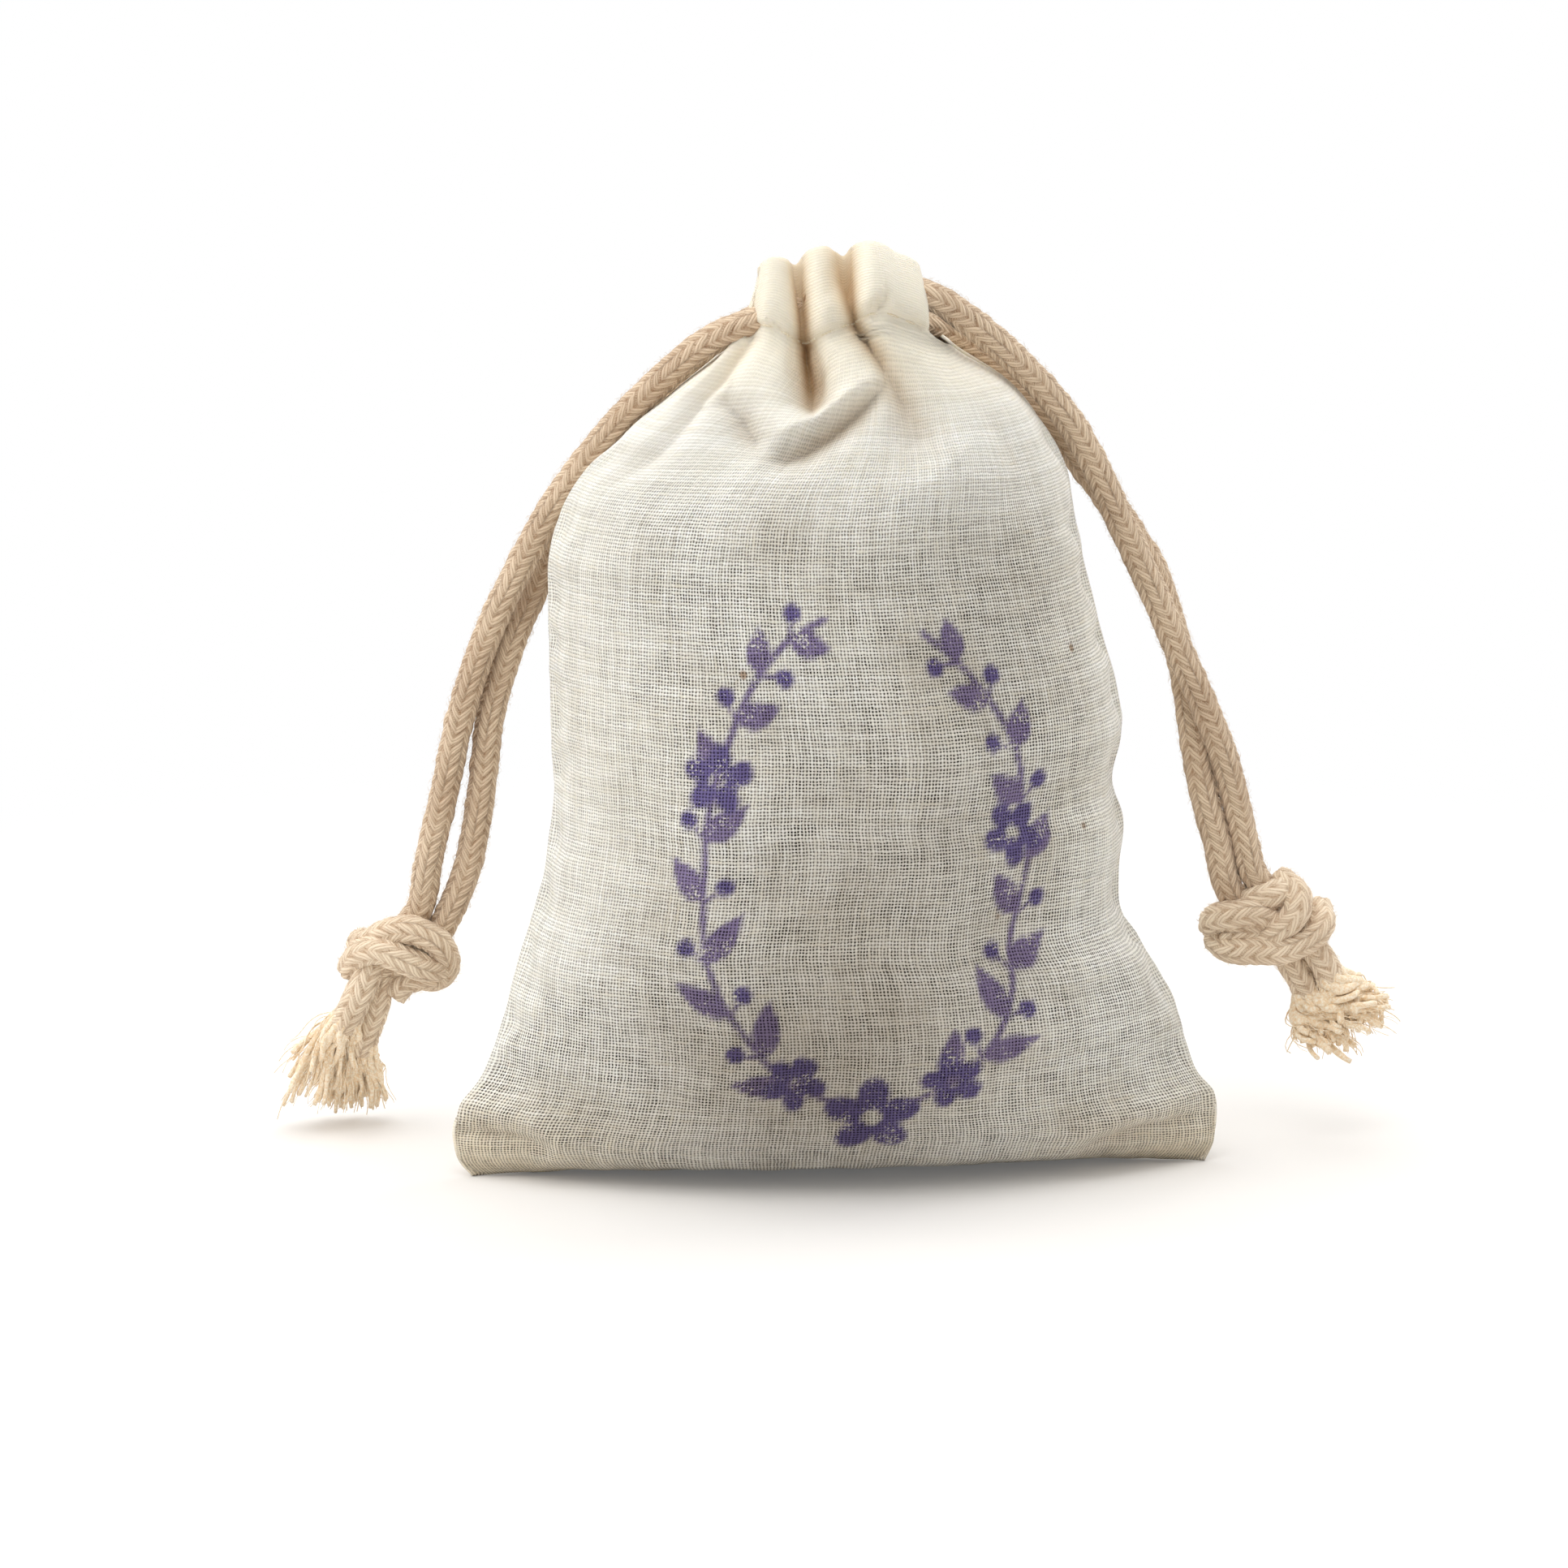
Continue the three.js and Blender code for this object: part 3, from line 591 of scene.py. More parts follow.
def braided_tube(pile, path, radius=CORD_RADIUS, start=0.0):
    """A braided cord: columns of slanted stitches, each slanting against the next, and loose fibres."""
    path = resample(path, BRAID_STITCH / BRAID_ROWS)
    sides = BRAID_COLUMNS * POINTS_PER_COLUMN
    place = np.arange(sides) / POINTS_PER_COLUMN
    column = np.floor(place).astype(int)
    off = 2 * (place - column) - 1 + 1 / POINTS_PER_COLUMN
    slant = np.where(column % 2 == 0, 1.0, -1.0)
    rows = np.arange(len(path))[:, None] / BRAID_ROWS
    wander = COLUMN_SHIFT[column] + COLUMN_DRIFT * np.sin(rows * 0.83 + column * 2.1)
    along = start + rows + wander + 0.5 * slant * off
    stitch = np.mod(along, 1.0)
    fullness = UNEVEN[(np.floor(along).astype(int) * 31 + column * 7) % len(UNEVEN)]
    crown = np.sqrt(1 - (2 * stitch - 1) ** 2) * np.sqrt(1 - np.abs(off) ** 3 * 0.9)
    radii = radius * (1 - BRAID_CROWN + BRAID_CROWN * crown * fullness)
    points, faces = tube_shape(path, radii, 2 * math.pi * place / BRAID_COLUMNS)
    pile.add(points, faces, groove=1 - crown, along=along)
    add_fuzz(pile, path, radius)


def add_fuzz(pile, path, radius):
    """Loose fibres that stand off a cord, each a bent hair of three sides."""
    tangents, across, up = frames_along(path)
    count = int(path_length(path) * FUZZ_PER_MM)
    place = rng.integers(1, len(path) - 1, count)
    angle = rng.uniform(0, 2 * math.pi, count)[:, None]
    out = np.cos(angle) * across[place] + np.sin(angle) * up[place]
    sideways = np.cross(out, tangents[place])
    lean = tangents[place] * rng.uniform(-1, 1, count)[:, None]
    aside = sideways * rng.uniform(-0.7, 0.7, count)[:, None]
    length = rng.uniform(*FUZZ_LENGTH, count)[:, None]
    root = path[place] + out * radius * 0.9
    middle = root + (0.7 * out + 0.7 * lean) * length * 0.6
    tip = middle + (0.3 * out + lean + aside) * length * 0.6
    centres = np.stack([root, middle, tip], axis=1)
    turn = np.arange(3)[:, None] * 2 * math.pi / 3
    ring = np.cos(turn) * out[:, None] + np.sin(turn) * unit(sideways)[:, None]
    sizes = np.array([1.0, 0.8, 0.3]) * FUZZ_RADIUS
    points = centres[:, :, None] + ring[:, None] * sizes[None, :, None, None]
    per_hair = points[0].size // 3
    faces = grid_faces(3, 3, True)[None] + per_hair * np.arange(count)[:, None, None]
    nothing = np.zeros(count * per_hair)
    pile.add(points, faces.reshape(-1, 4).tolist(), groove=nothing, along=nothing)


def path_length(path):
    return float(np.linalg.norm(np.diff(path, axis=0), axis=1).sum())


def knot_frame(route):
    """A knot's centre, the axis of its tail and the direction from its inner to its outer strand."""
    axis = unit(np.array(route["axis"], float))
    outwards = unit(np.cross([0, 1, 0], axis))
    outwards *= np.sign(outwards[0]) * route["towards"]
    return np.array(route["knot"], float), axis, outwards


def strand_path(route, place):
    """From inside the casing down to the top of the knot."""
    centre, axis, outwards = knot_frame(route)
    beside = outwards * STRAND_SPREAD * (1 if place == "front" else -1)
    top = centre - axis * (KNOT_HALF - STRAND_SINK) + beside
    return smooth_path([*route[place], top - axis * STRAND_LEAD, top], STRAND_STEP)


def make_strand(side, place):
    path = strand_path(ROUTES[side], place)
    pile = Pile()
    braided_tube(pile, path)
    strand = pile.build(f"{side}_{place}_cord", SHADED_CORD)
    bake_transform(strand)
    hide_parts(f"{side}_{place}_strand")
    return strand, path


def make_loop(side):
    """The hidden run of the cord through both casings and round the far end of the mouth."""
    towards = ROUTES[side]["towards"]
    level = RUN_LEVEL[side]
    half = [(6.6, 3.5, 86.2), (4, 3.5, level), (-2, 3.5, level), (-5, 2.8, 86.2), (-6.6, 1.2, 86.2)]
    front = [(towards * x, -y, z) for x, y, z in half]
    back = [(towards * x, y, z) for x, y, z in half[::-1]]
    pile = Pile()
    braided_tube(pile, smooth_path(front + back, STRAND_STEP), RUN_RADIUS)
    loop = pile.build(f"{side}_cord_run", SHADED_CORD)
    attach(loop, f"{side}_cord")
    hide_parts(f"{side}_cord_loop")


def beside_knot(route, points):
    """Points given to the right of a knot's centre, below it and towards the front."""
    right, down, forward = np.array(points, float).T
    drop = down - VIEW_TILT * forward
    return np.array(route["knot"], float) + np.column_stack([right, -forward, -drop])


def make_knot(side):
    """An overhand knot of the doubled cord: bands that wrap round each other, and the cords inside them."""
    route = ROUTES[side]
    pile = Pile()
    for i, band in enumerate(route["bands"]):
        bent = smooth_path(beside_knot(route, band), KNOT_STEP)
        braided_tube(pile, bent, KNOT_CORD_RADIUS, BAND_LEAD * i)
    knot = pile.build(f"{side}_overhand_knot", LIT_CORD)
    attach(knot, f"{side}_tail")
    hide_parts(f"{side}_knot")
    return knot


def make_frayed_end(side, place):
    """A stub of braid that opens into a fan of thick crimped yarns."""
    route = ROUTES[side]
    stub = smooth_path(beside_knot(route, route["stubs"][place]), KNOT_STEP)
    pile = Pile()
    braided_tube(pile, stub, KNOT_CORD_RADIUS)
    braid = pile.build(f"{side}_{place}_stub", LIT_CORD)
    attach(braid, f"{side}_tail")
    yarns = Pile()
    root = stub[-6]
    heading, across, up = (axis[-1] for axis in frames_along(stub))
    tip = beside_knot(route, [route["tips"][place]])[0]
    spread = np.array(route["spread"][place])
    t = np.linspace(0, 1, YARN_POINTS)[:, None]
    for i in range(YARNS + HAIRS):
        hair = i >= YARNS
        angle = i * YARN_TURN + rng.uniform(-0.4, 0.4)
        reach = rng.uniform(0.4, HAIR_REACH) if hair else math.sqrt((i + 0.5) / YARNS)
        around = math.cos(angle) * across + math.sin(angle) * up
        start = root + around * ROOT_RADIUS * min(reach, 1)
        fan = spread * np.array([math.cos(angle), rng.uniform(-0.8, 0.8), math.sin(angle)]) * reach
        end = tip + np.array([fan[0], fan[2], fan[1]]) - (tip - root) * rng.uniform(0, 0.25)
        bend = start + heading * FLARE_LENGTH + around * FLARE_WIDTH * reach
        yarn = (1 - t) ** 2 * start + 2 * t * (1 - t) * bend + t**2 * end
        wave = 2 * math.pi * rng.uniform(1.2, 2.4)
        curl = route["curl"] * rng.uniform(0.4, 1.2) * smoothstep(0, 0.5, t)
        phase = rng.uniform(0, 2 * math.pi)
        yarn += curl * (np.sin(t * wave + phase) * across + np.cos(t * wave + phase) * up)
        yarn[:, 2] = np.maximum(yarn[:, 2], TUFT_CLEARANCE)
        thick = rng.uniform(*(HAIR_RADIUS if hair else route["yarn"]))
        radii = thick * (1 - 0.35 * t[:, 0] ** 3)
        round_tube(yarns, yarn, radii, 4 if hair else 8)
    tuft = yarns.build(f"{side}_{place}_tuft", TUFT)
    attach(tuft, f"{side}_tail")
    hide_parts(f"{side}_{place}_frayed_end")
    return [braid, tuft]


def make_cords():
    for side in ROUTES:
        make_loop(side)
        knot = make_knot(side)
        for place in ("front", "back"):
            strand, path = make_strand(side, place)
            ends = make_frayed_end(side, place)


# Cloth

# Lengths of the cloth are in millimetres, and a profile's points are a height and a length.
FLAT_WIDTH = 76
CLOTH_THICKNESS = 0.35
CLOTH_COLUMNS = 190
CLOTH_STEP = 0.46
STITCH_HEIGHT = 84.4
CASING_TOP = 93.4
CASING_OPENING = 82.8  # from here up the side seams part for the cords
BODY_FADE = (83, 72)  # heights between which the gathered neck turns into the filled body
LEFT_EDGE = profile([
    (0, 36.4), (1.6, 37.7), (3.4, 38.2), (5, 38.1), (6.7, 37.2), (10, 34.9), (15.7, 32.8), (23.1, 30.7),
    (30.4, 28.6), (38.6, 27.4), (45.1, 27.6), (56.4, 27.8), (62.8, 27.6), (66.9, 26.4), (70.4, 24.6),
    (74.1, 21.3), (78.5, 16.6), (82.5, 11.6), (84.4, 10), (86, 9.9), (90, 9.1), (93.4, 8.4),
])
RIGHT_EDGE = profile([
    (0, 37), (2.4, 37.9), (5.2, 38), (7, 37.2), (9.2, 35.5), (12.1, 34.4), (16.9, 33), (22.8, 29.8),
    (27, 27.4), (35.2, 27.7), (39.3, 26.6), (45.9, 27.5), (55.6, 25), (62.1, 23.4), (67.2, 22.4),
    (70.8, 21.6), (74.9, 19.5), (79.2, 16.3), (82.4, 11.6), (84.4, 9.8), (86, 9.7), (90, 9.5),
    (93.4, 8.8),
])
# How far the left seam rolls to the front beside the cord.
LEFT_ROLL = profile([(0, 0), (60, 0), (68, 0.4), (74, 3.6), (79, 5.6), (82.5, 5.4), (84.4, 4.6), (93.4, 4)])
BODY_DEPTH = [
    (8, 13.5), (15, 16.2), (22, 17.6), (36, 18.6), (50, 18.4), (64, 16.9), (70, 15), (76, 12.4), (80, 10.6),
    (84.4, 8.6),
]
FRONT_DEPTH = [(0, -3.4), (0.3, 0), (0.9, 3.6), (1.9, 7.2), (3.4, 9.8)] + BODY_DEPTH
BACK_DEPTH = [(0, 3.6), (0.4, 6.4), (1.4, 8.8), (3.4, 10.8)] + BODY_DEPTH
# The casing from its stitch line over its top fold and down its inner side: height and depth.
CASING_FOLD = [
    (84.4, 8.6), (86, 9.2), (88, 9.3), (90.5, 8.4), (92.5, 7), (93.4, 5.9), (93.2, 5), (91.5, 3.2),
    (88.5, 1.6), (85, 1.1),
]
# How pointed the section is towards its seams.
SHARPNESS = profile([
    (0, 1.9), (10, 1.6), (20, 1.12), (27, 1), (64, 1), (72, 0.95), (80, 0.88), (84.4, 0.8), (93.4, 0.85),
])
TOP_EDGE = smooth_path([
    (-10, 88.2), (-8.8, 89.6), (-7.8, 91.3), (-6.6, 91.9), (-5.3, 91.8), (-4.4, 91.4), (-3.4, 92.6),
    (-1.6, 93.1), (-0.6, 92.7), (0.2, 92.3), (1, 93.2), (2.4, 93.4), (3.8, 93), (5, 92.2), (6.4, 91.6),
    (7.4, 90.8), (8.4, 89),
], 0.2)
BACK_LIP_DROP = 2.4  # how much lower the top edge of the back casing lies
# The stitch line under the front casing rides up and down with the pleats.
STITCH_LINE = [
    (-10, 85.2), (-8.8, 85.4), (-7, 84.9), (-5.1, 83.9), (-3.1, 83.8), (-1.2, 84.7), (0.8, 85.5),
    (2.5, 86.2), (4, 86.2), (5.8, 85.5), (8, 84.6), (10, 84),
]
HEM_ARCH = 0.3  # how far the bottom edge arches up in the middle
SECTION_POINTS = 240
SEAM_GAP = 0.03
BACK_LIP_INSET = 1.9  # how much nearer the middle the back casing ends on the left
# Radians of the section left open at the two ends of a casing, where the cords come out.
OPEN_ENDS = {-1: np.array([0.36, 0.56]), 1: np.array([0.56, 0.56])}
CREASE_POWER = 1.4  # 2 is a soft groove, 1 a sharp fold
CREASE_TOP = 90.5
DEEPEST_GATHER = 0.5  # share of the casing's depth, so that the cord inside stays covered
DEEPEST_SWELL = 1.5
BROAD_LUMPS = 0.18
FINE_LUMPS = 0.07
PUCKER_PITCH = 6.2
PUCKER_HEIGHT = 0.4
PUCKER_REACH = 4.5
STITCH_PINCH = 0.55
PINCH_REACH = 0.8
SEAM_RIDGE = 0.55
RIDGE_REACH = 0.9
LOWEST = 0.05
# how strong the painted glow of the ears is
EAR_GLOW = 0.45
FAR = 1e9


def crease(*points, left=1, right=1, power=CREASE_POWER, ramp=False):
    """A crease along points (x, z, depth, half width), raised where its depth is below zero.

    Left and right are the width's share on either side, and a ramp makes the left side a straight slope.
    """
    return SimpleNamespace(points=np.array(points, float), left=left, right=right, power=power, ramp=ramp)


FRONT_CREASES = [
    crease(  # broad hollow of the left gather
        (-4.2, 94, 2.2, 1.7), (-4, 90, 2.4, 1.7), (-3.8, 86, 2.4, 1.7), (-3.8, 84, 1.4, 2),
        (-3.8, 80, 0, 2.2), left=0.35, right=1.1, power=1,
    ),
    crease(  # broad hollow of the right gather
        (0.6, 94, 3, 2.2), (0.8, 90, 2.8, 2), (0.9, 87.6, 2.4, 1.6), (1.3, 85.6, 1.9, 1.5),
        (2.6, 84, 1.4, 1.8), (4.6, 81.6, 0, 2.2), left=0.25, right=1.2, power=1,
    ),
    crease(  # left gather
        (-4.4, 94, 2, 0.8), (-4.3, 90.1, 2.2, 0.7), (-4.1, 88, 2.4, 0.7), (-3.9, 85.8, 2.6, 0.7),
        (-3.9, 84.3, 3.6, 0.9), (-3.8, 81.2, 5, 1.5), (-3.7, 79.3, 4.2, 1.9), (-3.4, 76.6, 0, 1.6),
        right=0.8,
    ),
    crease(  # right gather
        (-0.1, 94, 2.6, 1.4), (0.2, 90.1, 2.5, 1.1), (0.6, 87.9, 2.2, 0.8), (1.2, 86, 2, 0.8),
        (2.5, 84.2, 2.2, 0.9), (3.8, 82.7, 2.6, 1.1), (5.4, 80.5, 2.8, 1.6), (6.5, 78.1, 2.6, 2.2),
        (7.6, 75.9, 2, 2.8), (9.6, 73, 0, 3), left=0.8, right=1.3,
    ),
    crease(  # fold along the left shoulder
        (-8.6, 88, 0.4, 0.6), (-8.9, 84.4, 1.4, 0.7), (-10, 83.2, 1.7, 0.8), (-12.1, 80.8, 1.7, 1),
        (-14, 78.9, 1.5, 1.1), (-16.1, 76, 1.2, 1.2), (-18.8, 73.3, 1, 1.3), (-21, 71.6, 0.7, 1.3),
        (-24, 69.6, 0, 1.2), left=0.8, right=1.2,
    ),
    crease(  # under the T-shaped fold
        (-9, 73.8, 0, 1.4), (-6.4, 73.8, 2.2, 1.5), (-4.4, 74.7, 3, 1.5), (-2.5, 75.7, 3.3, 1.5),
        (-0.5, 77, 3.2, 1.45), (1, 78.1, 2.8, 1.3), (2.6, 79.3, 1.9, 1), (4.6, 81, 0, 0.7), left=1.35,
        right=0.9, ramp=True,
    ),
    crease(  # rim of the T-shaped fold
        (-7, 75, 0, 1), (-6.2, 75.6, -0.6, 1), (-4.4, 76.6, -1, 1), (-2.5, 77.8, -1, 1),
        (-0.5, 79, -1, 1), (1, 79.9, -0.9, 1), (2.6, 80.8, -0.6, 0.8), (4.2, 81.3, 0, 0.6), left=1.5,
        right=0.3, power=1,
    ),
    crease(  # left end of the casing
        (-7.8, 92, 0.6, 0.45), (-8.3, 89, 1.2, 0.45), (-8.7, 86.6, 1.3, 0.45), (-9, 85, 0.4, 0.5),
    ),
    crease(  # left of the T-shaped fold
        (-12.6, 79.6, 0, 1.3), (-12, 78.9, 1.4, 1.5), (-10.3, 77.1, 2.4, 1.8), (-9.2, 75.4, 2, 1.7),
        (-8.6, 73, 0, 1.5), left=0.8,
    ),
    crease(  # dimple of the casing
        (2.6, 88.6, 0, 0.8), (3.3, 87.7, 1.1, 1.1), (4.2, 87.1, 0, 1),
    ),
    crease(  # right shoulder
        (12, 78.6, 0, 1.6), (15.4, 74.6, 0.7, 2), (17.6, 69.6, 0.6, 2.4), (18.4, 64, 0, 3),
    ),
    crease(  # left ear, lower
        (-38, 5, 0.3, 1), (-35.8, 5, 1, 1.2), (-33, 4.6, 1.3, 1.4), (-30, 3.8, 0.9, 1.4),
        (-28.6, 2.6, 0, 1.2), left=0.7, right=1.2,
    ),
    crease(  # left ear, upper
        (-38, 7.4, -0.2, 1.2), (-34, 7.4, -0.7, 1.3), (-30.6, 7, -0.8, 1.5), (-27.6, 5, -0.6, 1.4),
        (-26.6, 3, 0, 1.4), left=1.3, right=0.8,
    ),
    crease(  # right ear, lower
        (37, 5, 0.3, 1), (34.8, 4.9, 0.9, 1.2), (30.4, 4.3, 1.2, 1.4), (26, 3.3, 1, 1.4),
        (23, 2.4, 0, 1.2), left=1.2, right=0.7,
    ),
    crease(  # right ear, upper
        (37.5, 7.2, -0.2, 1.2), (33.9, 7.2, -0.7, 1.3), (28.6, 6.8, -0.8, 1.5), (24, 5.4, -0.6, 1.4),
        (21, 3.6, 0, 1.4), left=0.8, right=1.3,
    ),
]
BACK_CREASES = [
    crease(
        (x, 94, 3.4, 0.9), (x * 1.02, 86, 3.6, 0.8), (x * 1.25 + 0.4, 81, 2.6, 1.4),
        (x * 1.9 + 1, 72, 0, 2.4),
    )
    for x in (-6.2, -2.4, 1.9, 5.6)
]
# Swells and hollows of the filled cloth: x, height, how far it stands out, and its reach across and up.
FRONT_SWELLS = [
    (-6, 69, 1.2, 9, 4), (9.5, 71, 1, 5, 4), (-13.5, 36, 1, 5, 14), (-1, 30, -0.8, 7, 10), (9, 43, 0.8, 7, 7),
    (15, 30, -0.6, 5, 8), (19, 54, 0.7, 5, 9), (-17, 57, -0.6, 5, 6),
]
BACK_SWELLS = [
    (0, 69, 1, 12, 4), (-11, 40, 1, 6, 12), (4, 32, -0.8, 7, 10), (13, 46, 0.9, 6, 10), (-2, 56, -0.6, 7, 6),
]


def swell_height(x, z, swells):
    return sum(h * np.exp(-(((x - a) / across) ** 2) - ((z - b) / up) ** 2) for a, b, h, across, up in swells)


def cloth_rows(depths):
    """The rows of one panel: height, half depth, and how far the row lies along the cloth."""
    body = smooth_path(depths, CLOTH_STEP)
    fold = smooth_path(CASING_FOLD, CLOTH_STEP)[1:]
    rows = np.vstack([body, fold])
    run = np.r_[0, np.cumsum(np.linalg.norm(np.diff(rows, axis=0), axis=1))]
    return rows, run, len(body)


def off_segment(x, z, a, b):
    """How far along from a to b each point lies, as a share, and its way across and up from there."""
    along = (b - a)[:2]
    t = np.clip(((x - a[0]) * along[0] + (z - a[1]) * along[1]) / along.dot(along), 0, 1)
    return t, x - a[0] - t * along[0], z - a[1] - t * along[1]


def near_line(x, z, fold):
    """Depth of a crease at each point."""
    best = np.full(x.shape, FAR)
    deep = np.zeros(x.shape)
    left = np.zeros(x.shape, bool)
    for a, b in zip(fold.points, fold.points[1:]):
        t, dx, dz = off_segment(x, z, a, b)
        on_left = (b[0] - a[0]) * dz - (b[1] - a[1]) * dx > 0
        width = (a[3] + t * (b[3] - a[3])) * np.where(on_left, fold.left, fold.right)
        distance = np.hypot(dx, dz) / width
        nearer = distance < best
        best = np.where(nearer, distance, best)
        deep = np.where(nearer, a[2] + t * (b[2] - a[2]), deep)
        left = np.where(nearer, on_left, left)
    fall = np.exp(-(best**fold.power))
    if fold.ramp:
        fall = np.where(left, np.clip(1 - best, 0, 1), fall)
    return deep * fall


def lumps(x, y, z, size, seed):
    """Smooth random swelling between -1 and 1, the sum of a few waves in random directions."""
    waves = np.random.default_rng(seed)
    total = np.zeros_like(x)
    count = 14
    for _ in range(count):
        direction = unit(waves.normal(size=3)) * 2 * math.pi / (size * waves.uniform(0.7, 1.6))
        total += np.sin(x * direction[0] + y * direction[1] + z * direction[2] + waves.uniform(0, 6.3))
    return total / math.sqrt(count)


def section_line(facing, height, depth, opened):
    """One row of a panel, seam to seam, at even steps along the cloth."""
    start, end = OPEN_ENDS[facing] * opened
    angle = np.linspace(start, math.pi - end, SECTION_POINTS)
    along = facing * np.cos(angle)
    left = LEFT_EDGE(height) - (BACK_LIP_INSET * smoothstep(82, 86, height) if facing > 0 else 0)
    reach = np.where(along < 0, left, RIGHT_EDGE(height))
    swell = np.sin(angle) ** SHARPNESS(height)
    seam_y = facing * SEAM_GAP - LEFT_ROLL(height) * np.clip(-along, 0, 1) ** 2 * (1 - swell)
    line = np.column_stack([reach * along, seam_y + facing * depth * swell])
    lengths = np.r_[0, np.cumsum(np.linalg.norm(np.diff(line, axis=0), axis=1))]
    even = np.linspace(0, lengths[-1], CLOTH_COLUMNS + 1)
    return np.interp(even, lengths, line[:, 0]), np.interp(even, lengths, line[:, 1])


def panel_surface(facing, depths):
    """The smooth panel as a grid of points, its rows, their run along the cloth, and the casing's first."""
    rows, run, seam_row = cloth_rows(depths)
    grid = np.zeros((len(rows), CLOTH_COLUMNS + 1, 3))
    top_x, top_z = TOP_EDGE.T
    stitch_x, stitch_z = np.array(STITCH_LINE).T
    for r, (height, depth) in enumerate(rows):
        in_casing = r >= seam_row
        opened = 1.0 if in_casing else smoothstep(CASING_OPENING, STITCH_HEIGHT, height)
        x, y = section_line(facing, height, depth, opened)
        stitch = np.interp(x, stitch_x, stitch_z) if facing < 0 else STITCH_HEIGHT
        if in_casing:
            rise = (height - STITCH_HEIGHT) / (CASING_TOP - STITCH_HEIGHT)
            top = np.interp(x, top_x, top_z) - (BACK_LIP_DROP if facing > 0 else 0)
            z = stitch + rise * (top - stitch)
        else:
            z = height + (stitch - STITCH_HEIGHT) * smoothstep(76, STITCH_HEIGHT, height) + 0 * x
        grid[r] = np.column_stack([x, y, z])
    middle = 1 - np.linspace(-1, 1, CLOTH_COLUMNS + 1) ** 2
    grid[:, :, 2] += HEM_ARCH * smoothstep(7, 0, rows[:, :1]) * middle
    return grid, rows, run, seam_row


# How far from a side seam the gaps look pale: the two layers of cloth lie near each other there, and the
# longer reach on the left is painted light where that flank is lit.
BACKED = {
    -1: profile([(-5, 0.5), (10, 0.6), (18, 5), (27, 16), (45, 17), (62, 16), (72, 11), (95, 6)]),
    1: profile([(-5, 0.5), (10, 0.6), (18, 3), (28, 9), (62, 10), (72, 8), (95, 6)]),
}
# Where the dark buds lie against the cloth, darkened further by painted shade low on the belly: x, height,
# how much they darken it, and their reach.
DARK_BUDS_AND_SHADE = [(-4, 13, 0.6, 16, 13), (4, 34, 0.3, 13, 14), (14, 60, 0.28, 9, 12)]


def swelling(x, y, z, edge, facing):
    """How far the filled cloth stands out: its swells, the lumps of the buds and the side seams' puckers."""
    below = smoothstep(*BODY_FADE, z)
    height = swell_height(x, z, FRONT_SWELLS if facing < 0 else BACK_SWELLS) * smoothstep(2, 10, edge)
    broad = lumps(x, y, z, 12, 11 + facing) * BROAD_LUMPS
    height += broad * smoothstep(2, 12, edge) * below * smoothstep(2, 9, z)
    height += lumps(x, y, z, 5, 17 + facing) * FINE_LUMPS * below
    wave = np.sin(2 * math.pi * z / PUCKER_PITCH + 1.5 * lumps(x, y, z, 14, 5))
    pucker = PUCKER_HEIGHT * wave * np.exp(-edge / PUCKER_REACH)
    height += pucker * smoothstep(1.5, 8, z) * below * smoothstep(0.2, 1.5, edge)
    return np.clip(height, -DEEPEST_SWELL, DEEPEST_SWELL)


def material_values(grid, share, edge, facing, seam_row, sunk):
    """What the muslin needs at each point: how open its weave is, its painted glow at the neck and ears, and
    its shades, painted in the creases and over the dark buds.
    """
    x, _, z = np.moveaxis(grid, -1, 0)
    weave_open = 0.12 + 0.88 * smoothstep(80, 60, z)
    for half, reach in ((share < 0.5, BACKED[facing]), (share >= 0.5, BACKED[-facing])):
        weave_open *= 1 - 0.5 * half * smoothstep(1.4, 0.5, edge / reach(z))
    weave_open[seam_row - 1:] = 0.05
    # painted warm glow at the lower corners, which also makes their gaps paler
    ear_glow = EAR_GLOW * smoothstep(12, 0, z) * smoothstep(26, 2, edge)
    return {
        "open": weave_open * (1 - 0.4 * ear_glow),
        # painted highlight and glow of the neck
        "neck_glow": 0.9 * smoothstep(74, 85, z),
        "ear_glow": ear_glow,
        "crease": np.clip(sunk / 4.8, 0, 1) ** 1.5,
        "buds_and_shade": np.clip(swell_height(x, z, DARK_BUDS_AND_SHADE), 0, 1) * smoothstep(2, 12, edge),
    }


